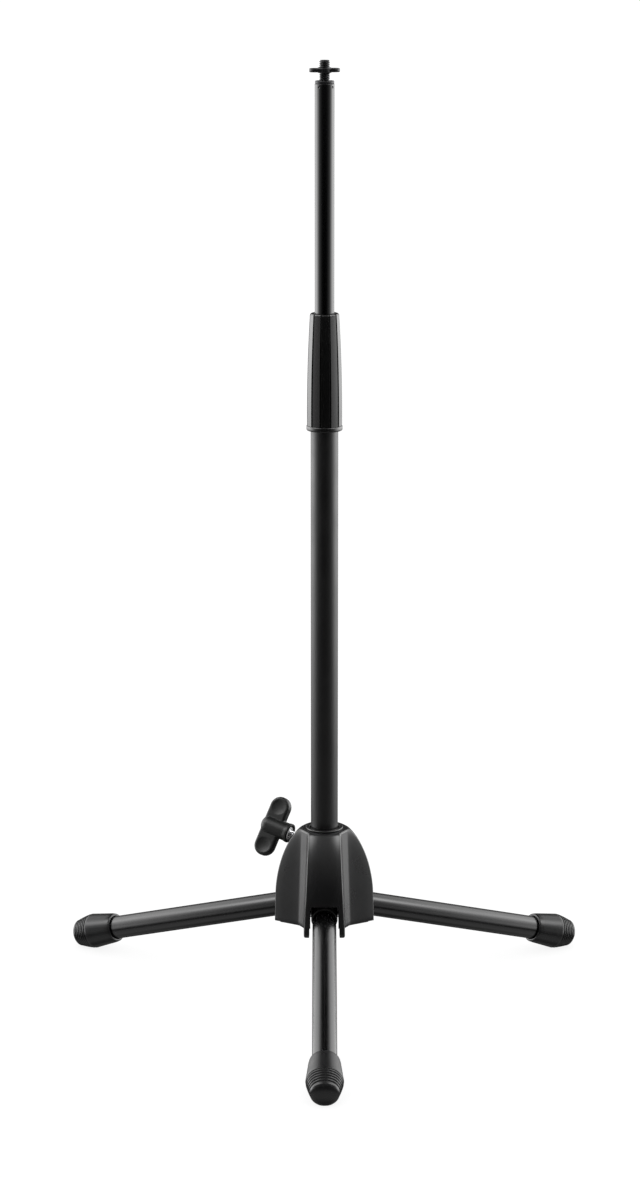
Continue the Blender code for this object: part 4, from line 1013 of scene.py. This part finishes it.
# %% Screw and washer
SCREW_R, SCREW_GROOVE, SCREW_PITCH, SCREW_START = mm(3, 0.55, 1, 19.3)
TIP_START, TIP_R, NOSE_START, NOSE_END, NOSE_R = mm(16.6, 1.2, 19.2, 21, 2.2)
WASHER_BORE, WASHER_LENGTH, WASHER_STEP = mm(3.3, 2.2, 0.35)
screw_end = KNOB_START + 18.7 * MM
screw = threaded(
    "clamp_screw_shank", SCREW_R, SCREW_GROOVE, SCREW_PITCH, SCREW_START, screw_end, 32
)
cut(screw, lathe("nose", rounded([
    (0.2 * MM, TIP_START, 0), (TIP_R, TIP_START, 0.3 * MM), (TIP_R, NOSE_START, 0),
    (NOSE_R, NOSE_START, 0), (NOSE_R, NOSE_END, 0), (0.2 * MM, NOSE_END, 0),
]), 32), "UNION")
close_piece(screw, 50)
dressed(screw, CLAMP, ZINC, "clamp_screw", "steel", "clamp_screw")

washer_start = KNOB_START + 0.3 * MM
washer_end, washer_face = washer_start + WASHER_LENGTH, washer_start + WASHER_STEP
washer = ring_piece("screw_washer", [
    (WASHER_BORE, washer_start, 0.25 * MM), (4.4 * MM, washer_start, 0.1 * MM),
    (4.6 * MM, washer_face, 0.1 * MM), (COLLAR_R, washer_face, 0.4 * MM),
    (COLLAR_R, washer_end, 0.3 * MM), (WASHER_BORE, washer_end, 0.2 * MM),
], 72)
dressed(washer, CLAMP, DULL_ZINC, "clamp_screw", "steel", "clamp_collar")

# %% [markdown]
# ## The legs
#
# The three legs are alike: a round hinge plug, a black tube and a rubber
# foot. One of each is made along its own Z and then copied to each lobe.
# The foot swells away from the mast to a ringed end with a smooth cap, and
# it is cut flat where it stands on the floor.

# %% One leg's pieces
COLLAR_REACH, PLUG_REACH = mm(9.7, 35)
PIN_HOLE_R, KEEP_R, KEEP_END = 3.35 * MM, LEG_COLLAR_R + 0.02 * MM, 50 * MM
LEG_R, LEG_WALL = mm(11, 1.5)
FOOT_RIM, FOOT_BELLY = mm(217.1, 244.5)
FOOT_RIM_R, FOOT_BELLY_R = mm(13.85, 16.7)
RING_PITCH, RING_GROOVE, RING_COUNT = 2.58 * MM, 0.85 * MM, 6
# One ring of the foot, as (share of its pitch, share of the groove's depth).
RING_SHAPE = ((0.08, 0.3), (0.18, 0.75), (0.3, 1.0), (0.42, 0.75), (0.54, 0.3), (0.66, 0.06),
              (0.8, 0.0), (0.92, 0.06))
CAP_START = FOOT_BELLY + RING_COUNT * RING_PITCH
CAP_R, CAP_HEIGHT, BEND_POWER = 12.9 * MM, 4.9 * MM, 1.3
LEG_END = FOOT_BELLY + 4.5 * MM
UPRIGHT = Matrix(((1, 0, 0, 0), (0, 0, -1, 0), (0, 1, 0, 0), (0, 0, 0, 1)))

leg_tube = tube("leg_tube", COLLAR_REACH + SEAT, LEG_END, LEG_R, LEG_WALL, 112)

plug_r, plug_end, hinge_low = LEG_R - LEG_WALL - SEAT, COLLAR_REACH + PLUG_REACH, -LEG_COLLAR_R * 1.4
hinge = lathe("hinge_plug", rounded([
    (1 * MM, hinge_low, 0), (LEG_COLLAR_R, hinge_low, 0), (LEG_COLLAR_R, COLLAR_REACH, 0.7 * MM),
    (plug_r, COLLAR_REACH, 0), (plug_r, plug_end, 1 * MM), (1 * MM, plug_end, 0),
]), 112)
keep = arc((0, 0), KEEP_R, 180, 360, 40) + [(KEEP_R, KEEP_END), (-KEEP_R, KEEP_END)]
cut(hinge, slab("keep", keep, -OVER * 1.5, OVER * 1.5, UPRIGHT), "INTERSECT")
level = Matrix.Rotation(math.pi / 2, 4, "X")
cut(hinge, bar("pin_hole", PIN_HOLE_R, -OVER * 2, OVER * 2, 40, level))
close_piece(hinge, 30)


def foot_radius(distance):
    """The smooth radius of a foot at a distance along the leg."""
    if distance < FOOT_BELLY:
        return between(FOOT_RIM_R, FOOT_BELLY_R, (distance - FOOT_RIM) / (FOOT_BELLY - FOOT_RIM))
    if distance < CAP_START:
        share = (distance - FOOT_BELLY) / (CAP_START - FOOT_BELLY)
        return between(FOOT_BELLY_R, CAP_R, share ** BEND_POWER)
    share = min((distance - CAP_START) / CAP_HEIGHT, 1.0)
    return CAP_R * math.sqrt(1 - share ** 2)


def foot_levels():
    """The foot's section: socket, rolled rim, taper, six rings and a smooth cap."""
    socket = LEG_R + SEAT
    levels = [(0.5 * MM, LEG_END + SEAT), (socket, LEG_END + SEAT), (socket, FOOT_RIM + 0.4 * MM),
              (socket + 0.4 * MM, FOOT_RIM)]
    for inset, rise in ((1.3, 0), (0.65, 0.25), (0.25, 0.8), (0, 1.8)):
        levels.append((FOOT_RIM_R - inset * MM, FOOT_RIM + rise * MM))
    distances = [between(FOOT_RIM + 2.8 * MM, FOOT_BELLY - 0.4 * MM, k / 14) for k in range(1, 15)]
    levels += [(foot_radius(distance), distance) for distance in distances]
    for ring in range(RING_COUNT):
        start = FOOT_BELLY + RING_PITCH * ring
        for at, sunk in RING_SHAPE:
            distance = start + RING_PITCH * at
            levels.append((foot_radius(distance) - RING_GROOVE * sunk, distance))
    for k in (0.0, 0.15, 0.3, 0.45, 0.6, 0.72, 0.82, 0.9, 0.95, 0.985):
        distance = CAP_START + CAP_HEIGHT * k
        levels.append((foot_radius(distance), distance))
    levels.append((0.3 * MM, CAP_START + CAP_HEIGHT))
    return levels


foot = lathe("foot", foot_levels(), 112)
DOWN = Vector((math.cos(LEG_SLOPE), 0, math.sin(LEG_SLOPE)))
open_piece(foot, "SELECT")
bpy.ops.mesh.bisect(
    plane_co=DOWN * HINGE_Z, plane_no=DOWN, use_fill=True, clear_outer=True, threshold=1e-6
)
close_piece(foot, 40)
print("one leg:", [piece.name for piece in (leg_tube, hinge, foot)])

# %% Copies on the three lobes
def leg_place(azimuth):
    """From a leg's own frame to its place."""
    return (
        BELL
        @ Matrix.Rotation(math.radians(azimuth), 4, "Z")
        @ Matrix.Translation((HINGE_OUT, 0, 0))
        @ Matrix.Rotation(math.pi / 2 + LEG_SLOPE, 4, "Y")
    )


for side, azimuth in LEG_AZIMUTHS.items():
    for model, material, slot, solid in (
        (leg_tube, LEG_PAINT, "black_paint", "leg_tube_"),
        (hinge, NYLON, "nylon", "leg_hinge_"),
        (foot, RUBBER, "rubber", "leg_foot_"),
    ):
        piece = copied(model, "dressed_" + solid + side)
        dressed(piece, leg_place(azimuth), material, "leg_" + side, slot, solid + side)
for model in (leg_tube, hinge, foot):
    bpy.data.objects.remove(model)

# %% [markdown]
# ## Solids that stay
#
# The inner pieces keep their solids and get finished materials.

# %% Materials of the solids that stay
kept = dict.fromkeys(("clutch_body", "collet", "guide_bush", "guide_bush_keeper", "clamp_pad"), NYLON)
kept.update({"leg_pin_" + side: ZINC for side in LEG_AZIMUTHS})
kept["clamp_insert"] = BRASS
for name, material in kept.items():
    nodes[name].data.materials.clear()
    nodes[name].data.materials.append(material)
print("kept solids:", sorted(kept))

# %% [markdown]
# ## Camera
#
# The photograph was taken from slightly above with a long lens. These
# numbers come from the perspective of the mast and the three feet: the
# focal length in pixels of a 640 by 1178 picture, the tilt, the distance
# and the height.

# %% Camera at the photograph's angle
FOCAL_PX, PICTURE_HEIGHT_PX = 3150, 1178
CENTRE_PX, MAST_PX = 320, 324.55
SENSOR_MM = 36
TILT = math.radians(13.23)
DISTANCE, HEIGHT = 2.801, 1.0496
lens = bpy.data.cameras.new("photo_camera")
lens.sensor_fit = "VERTICAL"
lens.sensor_height = lens.sensor_width = SENSOR_MM
lens.lens = FOCAL_PX * SENSOR_MM / PICTURE_HEIGHT_PX
camera = bpy.data.objects.new("photo_camera", lens)
bpy.context.scene.collection.objects.link(camera)
camera.location = ((CENTRE_PX - MAST_PX) / FOCAL_PX * DISTANCE, MAST_Y - DISTANCE, HEIGHT)
camera.rotation_euler = (math.pi / 2 - TILT, 0, 0)
bpy.context.scene.camera = camera
print("lens:", round(lens.lens, 2), "mm")

# %% [markdown]
# ## Floor and light
#
# The object is all black, so what is seen of it is mostly reflection. Two
# broad soft boxes stand at its sides, and the camera looks in from a dark
# room, which leaves a dark line down the middle of each tube. The floor is
# pale and keeps the contact shadows.

# %% Floor
FLOOR_SIZE, FLOOR_DROP, FLOOR_GREY, FLOOR_GLOW = 60, 0.05 * MM, 0.18, 0.86
bpy.ops.mesh.primitive_plane_add(size=FLOOR_SIZE, location=(0, 0, -FLOOR_DROP))
floor = added("floor")
floor_paint = bpy.data.materials.new("pale_floor")
floor_paint.use_nodes = True
tree = floor_paint.node_tree
seen = node(tree, "ShaderNodeLightPath").outputs["Is Camera Ray"]
feed(tree, tree.nodes["Principled BSDF"], {
    "Base Color": (FLOOR_GREY, FLOOR_GREY, FLOOR_GREY, 1),
    "Roughness": 0.9,
    "Specular IOR Level": 0.0,
    "Emission Color": (1, 1, 1, 1),
    "Emission Strength": maths(tree, "MULTIPLY", seen, FLOOR_GLOW),
})
floor.data.materials.append(floor_paint)
floor.visible_glossy = False
print("floor:", tuple(round(side, 1) for side in floor.dimensions))

# %% [markdown]
# The world is white to the camera and plain to diffuse light. A glossy ray
# sees a room drawn by its direction: X is across, Y away from the camera
# and Z up. The wall gives the soft boxes' strength by the angle from the
# camera's side, in degrees. A raised light stands over them, the near
# table shines a little from below, and the upper front fades in last.

# %% World
world = bpy.data.worlds.new("tent")
bpy.context.scene.world = world
world.use_nodes = True
sky = world.node_tree
rays = node(sky, "ShaderNodeLightPath").outputs
split = node(sky, "ShaderNodeSeparateXYZ", {0: node(sky, "ShaderNodeTexCoord").outputs["Generated"]})
across, back, up = (split.outputs[axis] for axis in "XYZ")


def chain(operation, value, *others):
    """Puts several values through one operation in turn."""
    for other in others:
        value = maths(sky, operation, value, other)
    return value


BOX_STRENGTH, UPPER_STRENGTH = 6.5, 10.0
WALL = {0: 0.0, 20: 0.02, 30: 0.09, 40: 0.22, 50: 0.47, 60: 0.8, 70: 1.6, 80: 3.4, 90: 5.3, 100: 6.3,
        110: 6.5, 120: 5.3, 130: 3.9, 140: 2.9, 148: 2.6, 156: 1.1, 165: 0.2, 180: 0.1}
aside = maths(sky, "ABSOLUTE", across)
around = maths(sky, "ARCTAN2", aside, maths(sky, "MULTIPLY", back, -1.0))
wall = node(sky, "ShaderNodeValToRGB", {"Fac": maths(sky, "DIVIDE", around, math.pi)})
stops = wall.color_ramp.elements
for number, (turn, level) in enumerate(WALL.items()):
    stop = stops[number] if number < len(stops) else stops.new(turn / 180)
    stop.position = turn / 180
    stop.color = (*[level / BOX_STRENGTH] * 3, 1)
box_floor = ramp(sky, up, -0.38, -0.08)
box_head = ramp(sky, up, 0.5, 0.8, 1.0, 0.03)
box_fade = chain("MULTIPLY", ramp(sky, up, -0.1, 0.2), ramp(sky, back, 0.0, 0.4, 0.5, 0.1))
box_height = chain("MULTIPLY", box_floor, box_head, maths(sky, "SUBTRACT", 1.0, box_fade))
boxes = chain("MULTIPLY", wall.outputs["Color"], box_height, BOX_STRENGTH)
upper_depth = chain("MULTIPLY", ramp(sky, back, -0.6, -0.05), ramp(sky, back, -0.1, 0.3, 1.0, 0.1))
upper_side = ramp(sky, aside, 0.2, 0.65, 0.0, UPPER_STRENGTH)
upper = chain("MULTIPLY", ramp(sky, up, 0.45, 0.75), upper_side, upper_depth)
table_near = ramp(sky, up, -0.6, -0.33, 0.6, 0.0)
table_under = ramp(sky, up, -1.0, -0.85, 0.15, 1.0)
table = chain("MULTIPLY", table_near, table_under, ramp(sky, back, -0.2, 0.9, 1.0, 0.1))
front_top = chain(
    "MULTIPLY", ramp(sky, up, -0.1, 1.1, 0.0, 0.6), ramp(sky, back, -0.2, 0.35, 1.0, 0.0)
)
tent = chain("ADD", boxes, upper, chain("ADD", table, front_top))
plain = chain("MULTIPLY", rays["Is Diffuse Ray"], ramp(sky, up, -1, 1, 0.8, 1.15))
shiny = maths(sky, "MAXIMUM", rays["Is Glossy Ray"], rays["Is Transmission Ray"])
strength = chain("ADD", plain, chain("MULTIPLY", shiny, tent), rays["Is Camera Ray"])
feed(sky, sky.nodes["Background"], {"Strength": strength, "Color": (1, 1, 1, 1)})
world.cycles.sampling_method = "NONE"
bpy.context.scene.view_settings.view_transform = "Standard"
print("soft box strength:", BOX_STRENGTH)
